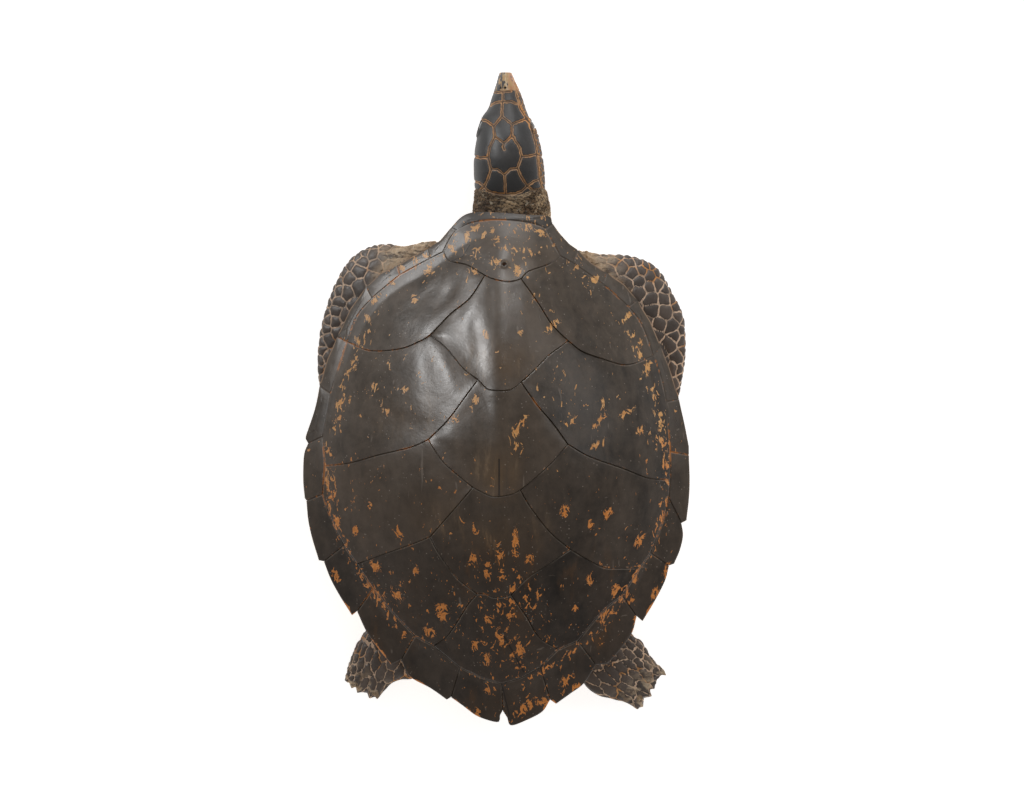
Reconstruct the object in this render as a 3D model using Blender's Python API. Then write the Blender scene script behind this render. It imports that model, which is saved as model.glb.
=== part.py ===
"""A whole preserved sea turtle, resting on its belly.

Its pieces are the carapace, plastron, head, lower jaw, two eyes, neck, four flippers and tail.

The head points to +Y, up is +Z, and the belly plate's flat underside lies at Z = 0. Solids are in metres.
"""

import math

import bmesh
import bpy
import numpy as np
from mathutils import Vector

# Driving dimensions, in metres
SHELL_LENGTH = 0.616  # front edge to rear points of the carapace
SHELL_TOP = 0.178  # highest point of the dome above the surface it rests on
RIM_SIDE = 0.061  # height of the outer edge at the flanks
RIM_FRONT_RISE = 0.033  # how much higher the edge stands over the neck
RIM_REAR_RISE = 0.006
RIM_THICKNESS = 0.006
BELLY_DEPTH = 0.056  # belly plate and bridge, up to where the carapace sits on them
SEAM_DEPTH = 0.0010  # groove between two scutes
SEAM_WIDTH = 0.0024
LEDGE = 0.0022  # how far a scute's rear edge stands over the scute behind it
SCUTE_CROWN = 0.0012  # rise of a scute towards its middle
KEEL_RISE = 0.0030
HOLE_RADIUS = 0.0022  # drilled in the nuchal scute
HOLE_PLACE = (4, 239)  # on the plan, in millimetres
HOLE_DEPTH = 0.0040
DOME_TOP = SHELL_TOP - KEEL_RISE - SCUTE_CROWN
GAP = 0.0003  # between pieces that meet
CLEARANCE = 0.0016  # under the carapace, over soft parts
EYE_RADIUS = 0.0100
SCALE_GROOVE = 0.0014  # between the low plates of head and flippers
SCALE_RISE = 0.0008
NOSE_RISE = 0.005  # bump of the nuchal scute
SCALED_SHARE = 0.95  # a flipper has plates outside this share of the outline's radius
FLIPPER_SEGMENTS, HEAD_SEGMENTS, JAW_SEGMENTS, NECK_SEGMENTS, TAIL_SEGMENTS = 12, 18, 14, 20, 12
BLADE_POWER, BARREL_POWER = 2.4, 2.3  # of the superellipses of the flippers' and the body's rings
TRAILING_SHARE = 0.75  # a flipper's thickness at its trailing edge, of that at its leading edge

# The plan is drawn in millimetres at this carapace length: x to the turtle's right, y towards its head
PLAN_LENGTH = 616.0
PLAN = SHELL_LENGTH / PLAN_LENGTH
CENTRE = (0.0, 30.0)  # middle of the dome on the plan
COSTAL_SHARE = 0.89  # the flange of marginal scutes begins at this share of the radius
COSTAL_DROP = 0.87  # share of the dome's rise that is spent there
BRIDGE_SHARE = 0.80  # the belly plate meets the carapace at this share
BELLY_SHARE = 0.64  # the flat underside's share
SIDE_SHARE = 0.66  # the belly plate's side starts here, past a narrow rounding
SEAT_GAP = 2.0  # millimetres between the belly plate's side and the root of a limb
TUCK_SHARE = 1.10  # soft parts stay under the carapace's edge out to here
RIM_STEP = 12.0  # spacing of points along the edge and the seams
SEAM_STEP = 16.0
OUTLINE_ANGLES = 240

LEFT, RIGHT = 0, 1
SIDES = (LEFT, RIGHT)
MARGINALS = 12

# Outer edge of each marginal from the nuchal back; the last point is its rear corner
RIM = (
    (
        ((-60, 284), (-67, 276), (-73, 269)),
        ((-88, 259), (-103, 252)),
        ((-125, 239), (-145, 230)),
        ((-162, 214), (-181, 188)),
        ((-197, 154), (-209, 127)),
        ((-218, 95), (-224, 67), (-234, 37), (-235, 31)),
        ((-232, 26), (-237, 12), (-238, -18), (-236, -40)),
        ((-234, -43), (-232, -66), (-227, -89), (-219, -115)),
        ((-213, -116), (-205, -137), (-193, -159), (-179, -181)),
        ((-173, -176), (-162, -200), (-148, -220), (-132, -240)),
        ((-120, -234), (-110, -254), (-85, -268), (-65, -282)),
        ((-60, -279), (-46, -289), (-28, -302), (-4, -309), (-1, -301)),
    ),
    (
        ((62, 289), (71, 277), (82, 265)),
        ((92, 258), (109, 242)),
        ((127, 231), (148, 217)),
        ((164, 198), (180, 172)),
        ((192, 143), (203, 116)),
        ((214, 79), (221, 48), (226, 22)),
        ((226, 12), (227, -18), (226, -42), (223, -67)),
        ((217, -70), (219, -85), (215, -103), (208, -119)),
        ((202, -121), (197, -140), (183, -167), (170, -188)),
        ((163, -182), (157, -203), (140, -226), (128, -239)),
        ((114, -240), (100, -262), (83, -275), (66, -287)),
        ((59, -282), (50, -296), (32, -306), (12, -313), (7, -303)),
    ),
)
FRONT_EDGE = ((57, 298), (30, 300), (6, 302), (-20, 303), (-37, 302), (-49, 296))

# Where seams meet, left and right. rim0 to rim12 come from RIM; inner0 to inner12 lie inside the marginals
MEETINGS = {
    "inner0": ((-54, 281), (54, 283)),
    "shoulder": ((-69, 255), (71, 250)),
    "inner1": ((-85, 247), (86, 242)),
    "inner2": ((-121, 228), (122, 217)),
    "inner3": ((-155, 200), (153, 190)),
    "inner4": ((-185, 148), (183, 131)),
    "inner5": ((-205, 86), (199, 76)),
    "inner6": ((-214, 34), (203, 16)),
    "outer23": ((-211, -1), (203, -18)),
    "inner7": ((-214, -35), (201, -39)),
    "inner8": ((-188, -96), (179, -105)),
    "outer34": ((-172, -118), (166, -123)),
    "inner9": ((-153, -148), (145, -156)),
    "inner10": ((-103, -204), (92, -210)),
    "outer45": ((-80, -216), (68, -220)),
    "inner11": ((-49, -242), (47, -241)),
    "inner12": ((1, -261), (1, -261)),
    "rim12": ((2, -295), (2, -295)),
    "spine12": ((-19, 226), (24, 222)),
    "flank12": ((-84, 155), (80, 148)),
    "spine23": ((-27, 102), (24, 99)),
    "flank23": ((-86, 31), (79, 26)),
    "spine34": ((-33, -25), (23, -28)),
    "flank34": ((-84, -84), (82, -99)),
    "spine45": ((-28, -152), (12, -153)),
}

# Points that bend a seam between two meetings, left and right
BENDS = {
    ("inner0", "shoulder"): (((-62, 269),), ((60, 270),)),
    ("inner3", "inner4"): (((-173, 178),), ((169, 168),)),
    ("inner4", "inner5"): (((-196, 113),), ((191, 109),)),
    ("inner7", "inner8"): (((-204, -63),), ((194, -66),)),
    ("inner9", "inner10"): (((-130, -175),), ((121, -175),)),
    ("inner11", "inner12"): (((-20, -255),), ((24, -254),)),
    ("shoulder", "spine12"): (((-62, 244), (-41, 239)), ((57, 240), (33, 231))),
    ("spine12", "flank12"): (((-37, 199), (-60, 180)), ((43, 195), (61, 167))),
    ("flank12", "inner4"): (
        ((-96, 148), (-120, 139), (-156, 137)),
        ((96, 136), (118, 128), (150, 120)),
    ),
    ("flank12", "spine23"): (((-65, 140), (-45, 116)), ((57, 131), (38, 112))),
    ("spine23", "flank23"): (((-42, 82), (-63, 54)), ((43, 72), (61, 51))),
    ("flank23", "outer23"): (
        ((-107, 22), (-144, 13), (-180, 3)),
        ((105, 11), (144, -3), (175, -15)),
    ),
    ("flank23", "spine34"): (((-69, 6), (-49, -12)), ((61, 5), (38, -16))),
    ("spine34", "flank34"): (((-50, -45), (-70, -68)), ((34, -47), (57, -77))),
    ("flank34", "outer34"): (
        ((-108, -94), (-138, -105)),
        ((109, -115), (125, -122), (142, -123)),
    ),
    ("flank34", "spine45"): (((-74, -103), (-52, -133)), ((53, -119), (31, -133))),
    ("spine45", "outer45"): (((-39, -165), (-62, -201)), ((30, -179), (45, -204))),
}
# Seams that cross the midline, from left to right
CROSSINGS = {
    "inner0": ((-37, 289), (-13, 293), (4, 293), (25, 291), (41, 288)),
    "spine12": ((-10, 222), (4, 219), (14, 219)),
    "spine23": ((-19, 94), (-12, 90), (11, 90)),
    "spine34": ((-15, -34), (-6, -36), (13, -33)),
    "spine45": ((-18, -152), (-9, -156), (5, -155)),
}
# The line inside the marginals, from the front to the back
INNER_LINE = (
    "inner0 shoulder inner1 inner2 inner3 inner4 inner5 inner6 outer23 inner7 inner8 outer34 inner9 inner10 "
    "outer45 inner11 inner12"
).split()
VERTEBRALS = {
    "vertebral_1": "inner0 shoulder spine12",
    "vertebral_2": "spine12 flank12 spine23",
    "vertebral_3": "spine23 flank23 spine34",
    "vertebral_4": "spine34 flank34 spine45",
    "vertebral_5": "spine45 outer45 inner11 inner12",
}
COSTALS = {
    "costal_1": "shoulder spine12 flank12 inner4 inner3 inner2 inner1",
    "costal_2": "flank12 spine23 flank23 outer23 inner6 inner5 inner4",
    "costal_3": "flank23 spine34 flank34 outer34 inner8 inner7 outer23",
    "costal_4": "flank34 spine45 outer45 inner10 inner9 outer34",
}

# Flippers: leading edge x, y; trailing edge x, y; height of the middle; half thickness, all in millimetres
FRONT_LEFT = (
    (-58, 232, -140, 165, 36, 17),
    (-74, 268, -158, 170, 40, 19),
    (-116, 264, -168, 172, 42, 19),
    (-150, 264, -172, 165, 41, 17),
    (-180, 248, -171, 150, 38, 15),
    (-200, 217, -171, 132, 34, 13),
    (-213, 180, -173, 112, 30, 11),
    (-220, 146, -176, 92, 26, 9.5),
    (-221, 112, -179, 70, 22, 8),
    (-217, 80, -181, 48, 18, 7),
    (-211, 48, -181, 25, 15, 6),
    (-204, 18, -180, 4, 12, 5),
    (-194, -10, -183, -14, 9, 4),
)
FRONT_RIGHT = (
    (76, 222, 140, 165, 36, 17),
    (88, 256, 156, 168, 40, 19),
    (119, 254, 166, 168, 42, 19),
    (158, 250, 171, 160, 41, 17),
    (187, 237, 171, 146, 38, 15),
    (206, 207, 171, 130, 34, 13),
    (218, 183, 172, 112, 30, 11),
    (222, 158, 174, 92, 26, 9.5),
    (222, 126, 176, 70, 22, 8),
    (217, 94, 177, 48, 18, 7),
    (209, 58, 177, 25, 15, 6),
    (200, 25, 176, 4, 12, 5),
    (190, -5, 179, -12, 9, 4),
)
HIND_LEFT = (
    (-126, -160, -78, -200, 34, 15),
    (-146, -182, -88, -236, 32, 15),
    (-163, -201, -104, -257, 29, 13),
    (-174, -217, -122, -260, 26, 11),
    (-182, -236, -134, -266, 22, 9),
    (-187, -256, -144, -278, 18, 7),
    (-183, -274, -156, -283, 15, 5),
)
HIND_RIGHT = (
    (126, -165, 78, -205, 34, 15),
    (143, -188, 90, -243, 32, 15),
    (158, -205, 102, -267, 29, 13),
    (171, -216, 118, -279, 26, 11),
    (182, -234, 134, -283, 22, 9),
    (197, -253, 152, -288, 18, 7),
    (184, -271, 164, -296, 15, 5),
)

# Head: y, middle x, half width, underside height, top height, in millimetres
HEAD = (
    (322, 11, 41.5, 16, 86),
    (338, 10.5, 42.5, 15, 94),
    (350, 10, 42.5, 14, 98),
    (352, 10, 42.4, 14, 98.5),
    (368, 9, 41.5, 13, 101),
    (386, 8.5, 38.5, 14, 100),
    (402, 7.5, 34, 15, 95),
    (414, 6.5, 29, 17, 89),
    (426, 7, 23.5, 19, 83),
    (438, 7.3, 19.5, 21, 77),
    (450, 7, 15.5, 23, 70),
    (460, 6.5, 11.5, 25, 63),
    (467, 5.7, 9, 27, 55),
    (473, 5.4, 6.5, 30, 46),
)
JAW_HINGE_Y, JAW_TIP_Y = 351.0, 463.0
MOUTH_BACK, MOUTH_FRONT = 44.0, 35.0  # height of the mouth line at the hinge and at the beak's tip
EYE_Y, EYE_HEIGHT, EYE_INSET = 405.0, 68.0, 9.2
JAW_WIDTH, JAW_TIP_WIDTH = 0.93, 0.55  # of the upper head's width
SCALED_ABOVE, SCALED_BEHIND = 0.052, 0.452  # the head's plates: over this height and behind this y, in metres
SMALLEST_SCALE = 4e-5  # in square metres
JAW_INSET, JAW_STEP = 1.6, 4.0  # the jaw starts this far in front of its hinge; its second ring is a step on
# Neck: y, middle x, half width, underside height, top height
NECK_LENGTHS = (
    (236, 12, 56, 14, 52),
    (262, 12, 53, 13, 62),
    (290, 12.5, 49, 12, 74),
    (304, 12.8, 47.5, 12, 80),
    (314, 12.6, 46, 13, 82),
    (320.8, 12, 43, 16, 83),
)
NECK_FREE_Y = 257.0  # the first ring clear of the belly plate
NECK_WRINKLE, NECK_RINGS = 1.4, 14
# Tail: y, middle x, half width, underside height, top height
TAIL = ((-214, 0, 20, 14, 48), (-240, 0, 15, 10, 40), (-262, 0, 10, 8, 28), (-278, 0, 4.5, 8, 17))

# Colours as seen on the specimen, linear
SCUTE_BROWN = (0.062, 0.052, 0.044)
BELLY_CREAM = (0.60, 0.48, 0.27)
SCALE_BROWN = (0.050, 0.042, 0.038)
SKIN_TAN = (0.30, 0.22, 0.13)
BEAK_HORN = (0.34, 0.23, 0.11)
EYE_BLACK = (0.010, 0.008, 0.007)


def smooth_path(points, step):
    """A Catmull-Rom curve through the points, as points about a step apart, both ends kept."""
    knots = [Vector(p) for p in points]
    knots = [2 * knots[0] - knots[1], *knots, 2 * knots[-1] - knots[-2]]
    fine = []
    for a, b, c, d in zip(knots, knots[1:], knots[2:], knots[3:]):
        for t in np.linspace(0, 1, 12, endpoint=False):
            bend = (2 * a - 5 * b + 4 * c - d) * t**2 + (3 * b - 3 * c + d - a) * t**3
            fine.append(0.5 * (2 * b + (c - a) * t + bend))
    fine.append(knots[-2])
    lengths = np.cumsum([0.0] + [(q - p).length for p, q in zip(fine, fine[1:])])
    count = max(1, round(lengths[-1] / step))
    wanted = np.linspace(0, lengths[-1], count + 1)
    xs = np.interp(wanted, lengths, [p[0] for p in fine])
    ys = np.interp(wanted, lengths, [p[1] for p in fine])
    return [Vector(p) for p in zip(xs, ys)]


def meeting(name, side):
    """The plan point of a named meeting of seams."""
    if name.startswith("rim") and name != "rim12":
        return Vector(RIM[side][int(name[3:])][0])
    return Vector(MEETINGS[name][side])


def seam(start, end, side):
    """Points from one meeting to the next on one side, both ends kept."""
    if (end, start) in BENDS:
        return seam(end, start, side)[::-1]
    bends = BENDS.get((start, end), ((), ()))[side]
    return smooth_path([meeting(start, side), *bends, meeting(end, side)], SEAM_STEP)


def crossing(name):
    """Points of a seam that crosses the midline, from left to right."""
    return smooth_path([meeting(name, LEFT), *CROSSINGS[name], meeting(name, RIGHT)], SEAM_STEP)


def rim_path(index, side):
    """The outer edge of one marginal scute, from its front corner past its rear point to the next scute."""
    after = meeting(f"rim{index + 1}", side)
    return [*smooth_path(RIM[side][index], RIM_STEP), after]


def front_path():
    """The nuchal scute's front edge, from right to left."""
    return smooth_path([meeting("rim0", RIGHT), *FRONT_EDGE, meeting("rim0", LEFT)], RIM_STEP)


def joined(*paths):
    """Paths that follow each other, as one ring of points without repeats."""
    ring = []
    for path in paths:
        ring += [p for p in path if not ring or (p - ring[-1]).length > 1e-6]
    return ring[:-1] if (ring[0] - ring[-1]).length < 1e-6 else ring


def chain(names, side):
    return [seam(a, b, side) for a, b in zip(names, names[1:])]


def vertebral_ring(names):
    """A vertebral scute's outline, counter-clockwise: its front seam, down its left, back up its right."""
    first, last = names[0], names[-1]
    down = chain(names, LEFT)
    up = [path[::-1] for path in chain(names, RIGHT)][::-1]
    bottom = [crossing(last)] if last in CROSSINGS else []
    return joined(crossing(first)[::-1], *down, *bottom, *up)


def turned(ring, side):
    """Outlines are listed counter-clockwise for the right side, so the left ones are turned round."""
    return ring if side == RIGHT else ring[::-1]


def costal_ring(names, side):
    return turned(joined(*chain([*names, names[0]], side)), side)


def marginal_ring(index, side):
    line = INNER_LINE[INNER_LINE.index(f"inner{index}") : INNER_LINE.index(f"inner{index + 1}") + 1]
    inward = [meeting(f"rim{index}", side), meeting(line[0], side)]
    outward = [meeting(line[-1], side), meeting(f"rim{index + 1}", side)]
    return turned(joined(inward, *chain(line, side), outward, rim_path(index, side)[::-1]), side)


def scute_rings():
    """Name and outline of every scute of the carapace."""
    rings = {"nuchal": joined(front_path(), [meeting("inner0", LEFT)], crossing("inner0"))}
    rings |= {name: vertebral_ring(names.split()) for name, names in VERTEBRALS.items()}
    for side, letter in zip(SIDES, "lr"):
        rings |= {f"{name}_{letter}": costal_ring(names.split(), side) for name, names in COSTALS.items()}
        rings |= {f"marginal_{i + 1}_{letter}": marginal_ring(i, side) for i in range(MARGINALS)}
    return rings


def outline_radius():
    """The carapace's smoothed outline as radii from the dome's middle, one for each of OUTLINE_ANGLES."""
    edge = front_path()
    for index in range(MARGINALS):
        edge += rim_path(index, LEFT)
    for index in reversed(range(MARGINALS)):
        edge += rim_path(index, RIGHT)[::-1]
    away = np.array([(p[0] - CENTRE[0], p[1] - CENTRE[1]) for p in edge])
    angles, radii = np.arctan2(away[:, 1], away[:, 0]), np.hypot(away[:, 0], away[:, 1])
    order = np.argsort(angles)
    wanted = np.linspace(-math.pi, math.pi, OUTLINE_ANGLES, endpoint=False)
    even = np.interp(wanted, angles[order], radii[order], period=2 * math.pi)
    kernel = np.hanning(15) / np.hanning(15).sum()
    return np.convolve(np.concatenate([even[-7:], even, even[:7]]), kernel, "valid")


RADII = outline_radius()


def polar(x, y):
    """Share of the outline's radius, angle and that radius, for a plan point in millimetres."""
    dx, dy = x - CENTRE[0], y - CENTRE[1]
    angle = math.atan2(dy, dx)
    place = (angle + math.pi) / (2 * math.pi) * OUTLINE_ANGLES
    radius = np.interp(place, np.arange(OUTLINE_ANGLES + 1), np.append(RADII, RADII[0]))
    return math.hypot(dx, dy) / radius, angle, radius


def rim_height(angle):
    forward = math.sin(angle)
    rise = RIM_FRONT_RISE if forward > 0 else RIM_REAR_RISE
    return RIM_SIDE + rise * abs(forward) ** 6


def dome_height(x, y):
    """Height of the carapace before the scutes' relief: a low dome, flatter over the marginal scutes."""
    share, angle, _ = polar(x, y)
    if share < COSTAL_SHARE:
        drop = COSTAL_DROP * (share / COSTAL_SHARE) ** 2
    else:
        drop = COSTAL_DROP + (1 - COSTAL_DROP) * (share - COSTAL_SHARE) / (1 - COSTAL_SHARE)
    keel = KEEL_RISE * math.exp(-((x / 16) ** 2)) * max(0.0, 1 - share**2)
    nose = NOSE_RISE * math.exp(-((x / 24) ** 2) - ((y - 250) / 34) ** 2)
    return DOME_TOP - (DOME_TOP - rim_height(angle)) * drop + keel + nose


def under_height(x, y):
    """Height of the carapace's underside: flat over the belly plate, then out to the edge."""
    share, angle, _ = polar(x, y)
    out = min(1.0, max(0.0, (share - BRIDGE_SHARE) / (1 - BRIDGE_SHARE)))
    return BELLY_DEPTH + (rim_height(angle) - RIM_THICKNESS - BELLY_DEPTH) * out


def material(name, colour, roughness):
    made = bpy.data.materials.new(name)
    made.use_nodes = True
    shader = made.node_tree.nodes["Principled BSDF"]
    shader.inputs["Base Color"].default_value = (*colour, 1.0)
    shader.inputs["Roughness"].default_value = roughness
    return made


def add_object(name, bm, surface, smooth_angle=40):
    """Puts a finished bmesh into the scene as one named object."""
    bmesh.ops.recalc_face_normals(bm, faces=bm.faces)
    mesh = bpy.data.meshes.new(name)
    bm.to_mesh(mesh)
    bm.free()
    mesh.materials.append(surface)
    mesh.shade_smooth()
    mesh.set_sharp_from_angle(angle=math.radians(smooth_angle))
    made = bpy.data.objects.new(name, mesh)
    bpy.context.scene.collection.objects.link(made)
    return made


def cut(target, cutter):
    cutter.hide_render = True
    cutter.display_type = "WIRE"
    boolean = target.modifiers.new("cut", "BOOLEAN")
    boolean.operation = "DIFFERENCE"
    boolean.object = cutter


def outward(ring, index):
    """Unit normal in the plan, pointing out of a counter-clockwise ring at one of its points."""
    along = ring[(index + 1) % len(ring)] - ring[index - 1]
    return Vector((along[1], -along[0])).normalized()


def middle_of(points):
    return sum(points, Vector((0, 0))) / len(points)


def ledge_share(normal):
    """1 at an edge that faces the rear and overlaps the next scute, 0 at one that tucks under another."""
    return min(1.0, max(0.0, 0.5 - 0.8 * normal[1]))


class ShellTop:
    """The carapace's upper surface: one closed plate for each scute, sharing the seams' vertices."""

    def __init__(self):
        self.bm = bmesh.new()
        self.seams = {}

    def place(self, point, lift):
        height = dome_height(point[0], point[1]) + lift
        return self.bm.verts.new((point[0] * PLAN, point[1] * PLAN, height))

    def seam_vertex(self, point):
        key = (round(point[0], 3), round(point[1], 3))
        if key not in self.seams:
            self.seams[key] = self.place(point, -SEAM_DEPTH)
        return self.seams[key]

    def strip(self, outer, inner):
        for i, vertex in enumerate(outer):
            after = (i + 1) % len(outer)
            self.bm.faces.new((vertex, outer[after], inner[after], inner[i]))

    def scute(self, ring, shares):
        """A plate: groove wall, then rings drawn in towards the middle by the given shares, then a fan."""
        middle = middle_of(ring)
        shares_up = [ledge_share(outward(ring, i)) for i in range(len(ring))]
        previous = [self.seam_vertex(p) for p in ring]
        for share in (None, *shares):
            row = []
            for i, point in enumerate(ring):
                away = point - middle
                if share is None:
                    spot = point - away.normalized() * min(SEAM_WIDTH / PLAN, 0.2 * away.length)
                    lift = LEDGE * shares_up[i]
                else:
                    spot = middle + away * share
                    lift = LEDGE * shares_up[i] * share**2 + SCUTE_CROWN * (1 - share**2)
                row.append(self.place(spot, lift))
            self.strip(previous, row)
            previous = row
        tip = self.place(middle, SCUTE_CROWN)
        for i, vertex in enumerate(previous):
            self.bm.faces.new((vertex, previous[(i + 1) % len(previous)], tip))


def carapace(surface):
    """Domed upper shell with 38 overlapping scutes, a thin toothed edge and a seat for the belly plate."""
    top = ShellTop()
    for name, ring in scute_rings().items():
        narrow = name.startswith(("marginal", "nuchal"))
        top.scute(ring, (0.5,) if narrow else (0.72, 0.4))
    bm = top.bm
    edges = [edge for edge in bm.edges if edge.is_boundary]
    for vertex in {v for edge in edges for v in edge.verts}:
        vertex.co.z += SEAM_DEPTH
    wall = bmesh.ops.extrude_edge_only(bm, edges=edges)["geom"]
    for vertex in (g for g in wall if isinstance(g, bmesh.types.BMVert)):
        vertex.co.z -= RIM_THICKNESS
    edges = [g for g in wall if isinstance(g, bmesh.types.BMEdge) and g.is_boundary]
    flange = bmesh.ops.extrude_edge_only(bm, edges=edges)["geom"]
    for vertex in (g for g in flange if isinstance(g, bmesh.types.BMVert)):
        _, angle, radius = polar(vertex.co.x / PLAN, vertex.co.y / PLAN)
        reach = BRIDGE_SHARE * radius
        vertex.co.x = (CENTRE[0] + reach * math.cos(angle)) * PLAN
        vertex.co.y = (CENTRE[1] + reach * math.sin(angle)) * PLAN
        vertex.co.z = BELLY_DEPTH
    bmesh.ops.holes_fill(bm, edges=[e for e in bm.edges if e.is_boundary], sides=0)
    made = add_object("carapace", bm, surface, 25)
    drill = bmesh.new()
    size = {"radius1": HOLE_RADIUS, "radius2": HOLE_RADIUS, "depth": 2 * HOLE_DEPTH}
    bmesh.ops.create_cone(drill, cap_ends=True, segments=12, **size)
    x, y = HOLE_PLACE
    place = Vector((x * PLAN, y * PLAN, dome_height(x, y) + SCUTE_CROWN))
    bmesh.ops.translate(drill, verts=drill.verts, vec=place)
    cut(made, add_object("drilled_hole", drill, surface))
    return made


def belly_share(height):
    """Share of the outline's radius that the belly plate's side reaches at a height in metres."""
    return SIDE_SHARE + (BRIDGE_SHARE - SIDE_SHARE) * (height / BELLY_DEPTH) ** 0.8


def plastron(surface):
    """Belly plate and bridges: a shallow pan with a flat underside, at the top as wide as its seat."""
    levels = ((0.0, BELLY_SHARE), *((h, belly_share(h)) for h in (0.005, 0.020, 0.038, BELLY_DEPTH - GAP)))
    count = 48
    bm = bmesh.new()
    face = bmesh.ops.create_circle(bm, cap_ends=True, segments=count, radius=1)["verts"][0].link_faces[0]
    for index, (height, share) in enumerate(levels):
        if index:
            made = bmesh.ops.extrude_face_region(bm, geom=[face])["geom"]
            if index > 1:
                bm.faces.remove(face)
            face = next(g for g in made if isinstance(g, bmesh.types.BMFace))
        for number, vertex in enumerate(face.verts):
            angle = 2 * math.pi * number / count
            _, _, radius = polar(CENTRE[0] + math.cos(angle), CENTRE[1] + math.sin(angle))
            reach = share * radius
            vertex.co = (
                (CENTRE[0] + reach * math.cos(angle)) * PLAN,
                (CENTRE[1] + reach * math.sin(angle)) * PLAN,
                height,
            )
    return add_object("plastron", bm, surface)


def loft(stations, ring_of, segments):
    """Extrudes a capped ring through the stations; ring_of gives a station's points in metres."""
    bm = bmesh.new()
    rows = [[bm.verts.new(p) for p in ring_of(station, segments)] for station in stations]
    for row, after in zip(rows, rows[1:]):
        for i in range(segments):
            j = (i + 1) % segments
            bm.faces.new((row[i], row[j], after[j], after[i]))
    close_end(bm, rows[0])
    close_end(bm, rows[-1])
    bmesh.ops.recalc_face_normals(bm, faces=bm.faces)
    return bm, rows


def close_end(bm, row):
    """Closes a ring by rungs from its upper to its lower half, so that the end can follow a curved wall."""
    count = len(row)
    bm.faces.new((row[0], row[1], row[-1]))
    for i in range(1, count // 2 - 1):
        bm.faces.new((row[i], row[i + 1], row[count - i - 1], row[count - i]))
    bm.faces.new((row[count // 2 - 1], row[count // 2], row[count // 2 + 1]))


def rounded(angle, power):
    """Cosine and sine of a superellipse, fuller than a circle for a power over 2."""
    c, s = math.cos(angle), math.sin(angle)
    return math.copysign(abs(c) ** (2 / power), c), math.copysign(abs(s) ** (2 / power), s)


def blade_ring(station, segments):
    lead_x, lead_y, trail_x, trail_y, height, half = station
    points = []
    for i in range(segments):
        c, s = rounded(2 * math.pi * i / segments, BLADE_POWER)
        across = 0.5 * (1 + c)
        x = trail_x + (lead_x - trail_x) * across
        y = trail_y + (lead_y - trail_y) * across
        thick = half * s * (TRAILING_SHARE + (1 - TRAILING_SHARE) * across)
        points.append((x * PLAN, y * PLAN, (height + thick) * PLAN))
    return points


def barrel_ring(station, segments):
    """A ring across the body's length: station is y, middle x, half width, underside and top."""
    y, middle, half, low, high = station
    points = []
    for i in range(segments):
        c, s = rounded(2 * math.pi * i / segments, BARREL_POWER)
        height = (low + high) / 2 + (high - low) / 2 * s
        points.append(((middle + half * c) * PLAN, y * PLAN, height * PLAN))
    return points


def tuck_under_shell(vertices):
    """Keeps soft parts clear of the carapace's underside."""
    for vertex in vertices:
        x, y = vertex.co.x / PLAN, vertex.co.y / PLAN
        if polar(x, y)[0] < TUCK_SHARE:
            vertex.co.z = min(vertex.co.z, under_height(x, y) - CLEARANCE)


def seat_on_body(row):
    """Moves a root ring's vertices out to the belly plate's side, a gap away from it."""
    for vertex in row:
        x, y = vertex.co.x / PLAN, vertex.co.y / PLAN
        _, angle, radius = polar(x, y)
        height = min(max(vertex.co.z, 0.0), BELLY_DEPTH - CLEARANCE)
        reach = belly_share(height) * radius + SEAT_GAP
        vertex.co.x = (CENTRE[0] + reach * math.cos(angle)) * PLAN
        vertex.co.y = (CENTRE[1] + reach * math.sin(angle)) * PLAN


def raise_scales(bm, faces):
    """Turns each face into a low plate with a groove around it."""
    size = {"thickness": SCALE_GROOVE, "depth": SCALE_RISE}
    bmesh.ops.inset_individual(bm, faces=faces, use_even_offset=True, **size)


def flipper(name, stations, surface):
    """A limb that leaves the body's side and lies back along the shell, scaled on its upper face."""
    bm, rows = loft(stations, blade_ring, FLIPPER_SEGMENTS)
    seat_on_body(rows[0])
    tuck_under_shell(bm.verts)
    upper = [
        face
        for face in bm.faces
        if face.normal.z > 0.5
        and len(face.verts) == 4
        and all(polar(v.co.x / PLAN, v.co.y / PLAN)[0] > SCALED_SHARE for v in face.verts)
    ]
    raise_scales(bm, upper)
    return add_object(name, bm, surface)


def mouth_height(y):
    """Height of the mouth line in millimetres."""
    share = (y - JAW_HINGE_Y) / (HEAD[-1][0] - JAW_HINGE_Y)
    return MOUTH_BACK + (MOUTH_FRONT - MOUTH_BACK) * share


def head(surface):
    """Skull with its upper beak, cut off along the mouth line, with low plates over the crown and cheeks."""

    def ring_of(station, segments):
        points = barrel_ring(station, segments)
        if station[0] < JAW_HINGE_Y:
            return points
        mouth = mouth_height(station[0]) * PLAN
        return [(x, y, max(z, mouth)) for x, y, z in points]

    bm, _ = loft(HEAD, ring_of, HEAD_SEGMENTS)
    scaled = [
        face
        for face in bm.faces
        if len(face.verts) == 4
        and face.normal.z > -0.2
        and face.calc_center_median().z > SCALED_ABOVE
        and face.calc_center_median().y < SCALED_BEHIND
        and face.calc_area() > SMALLEST_SCALE
    ]
    raise_scales(bm, scaled)
    return add_object("head", bm, surface)


def lower_jaw(surface):
    """The lower beak, closed a gap under the upper one and a little narrower."""
    first = JAW_HINGE_Y + JAW_INSET
    ys = [first, *(s[0] for s in HEAD if first + JAW_STEP < s[0] < JAW_TIP_Y), JAW_TIP_Y]
    columns = list(zip(*HEAD))
    stations = []
    for y in ys:
        middle, half, low, high = (float(np.interp(y, columns[0], column)) for column in columns[1:])
        width = JAW_WIDTH if y < JAW_TIP_Y else JAW_TIP_WIDTH
        stations.append((y, middle, half * width, low, high))

    def ring_of(station, segments):
        mouth = mouth_height(station[0]) * PLAN - GAP
        return [(x, y, min(z, mouth)) for x, y, z in barrel_ring(station, segments)]

    bm, _ = loft(stations, ring_of, JAW_SEGMENTS)
    return add_object("lower_jaw", bm, surface)


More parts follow.
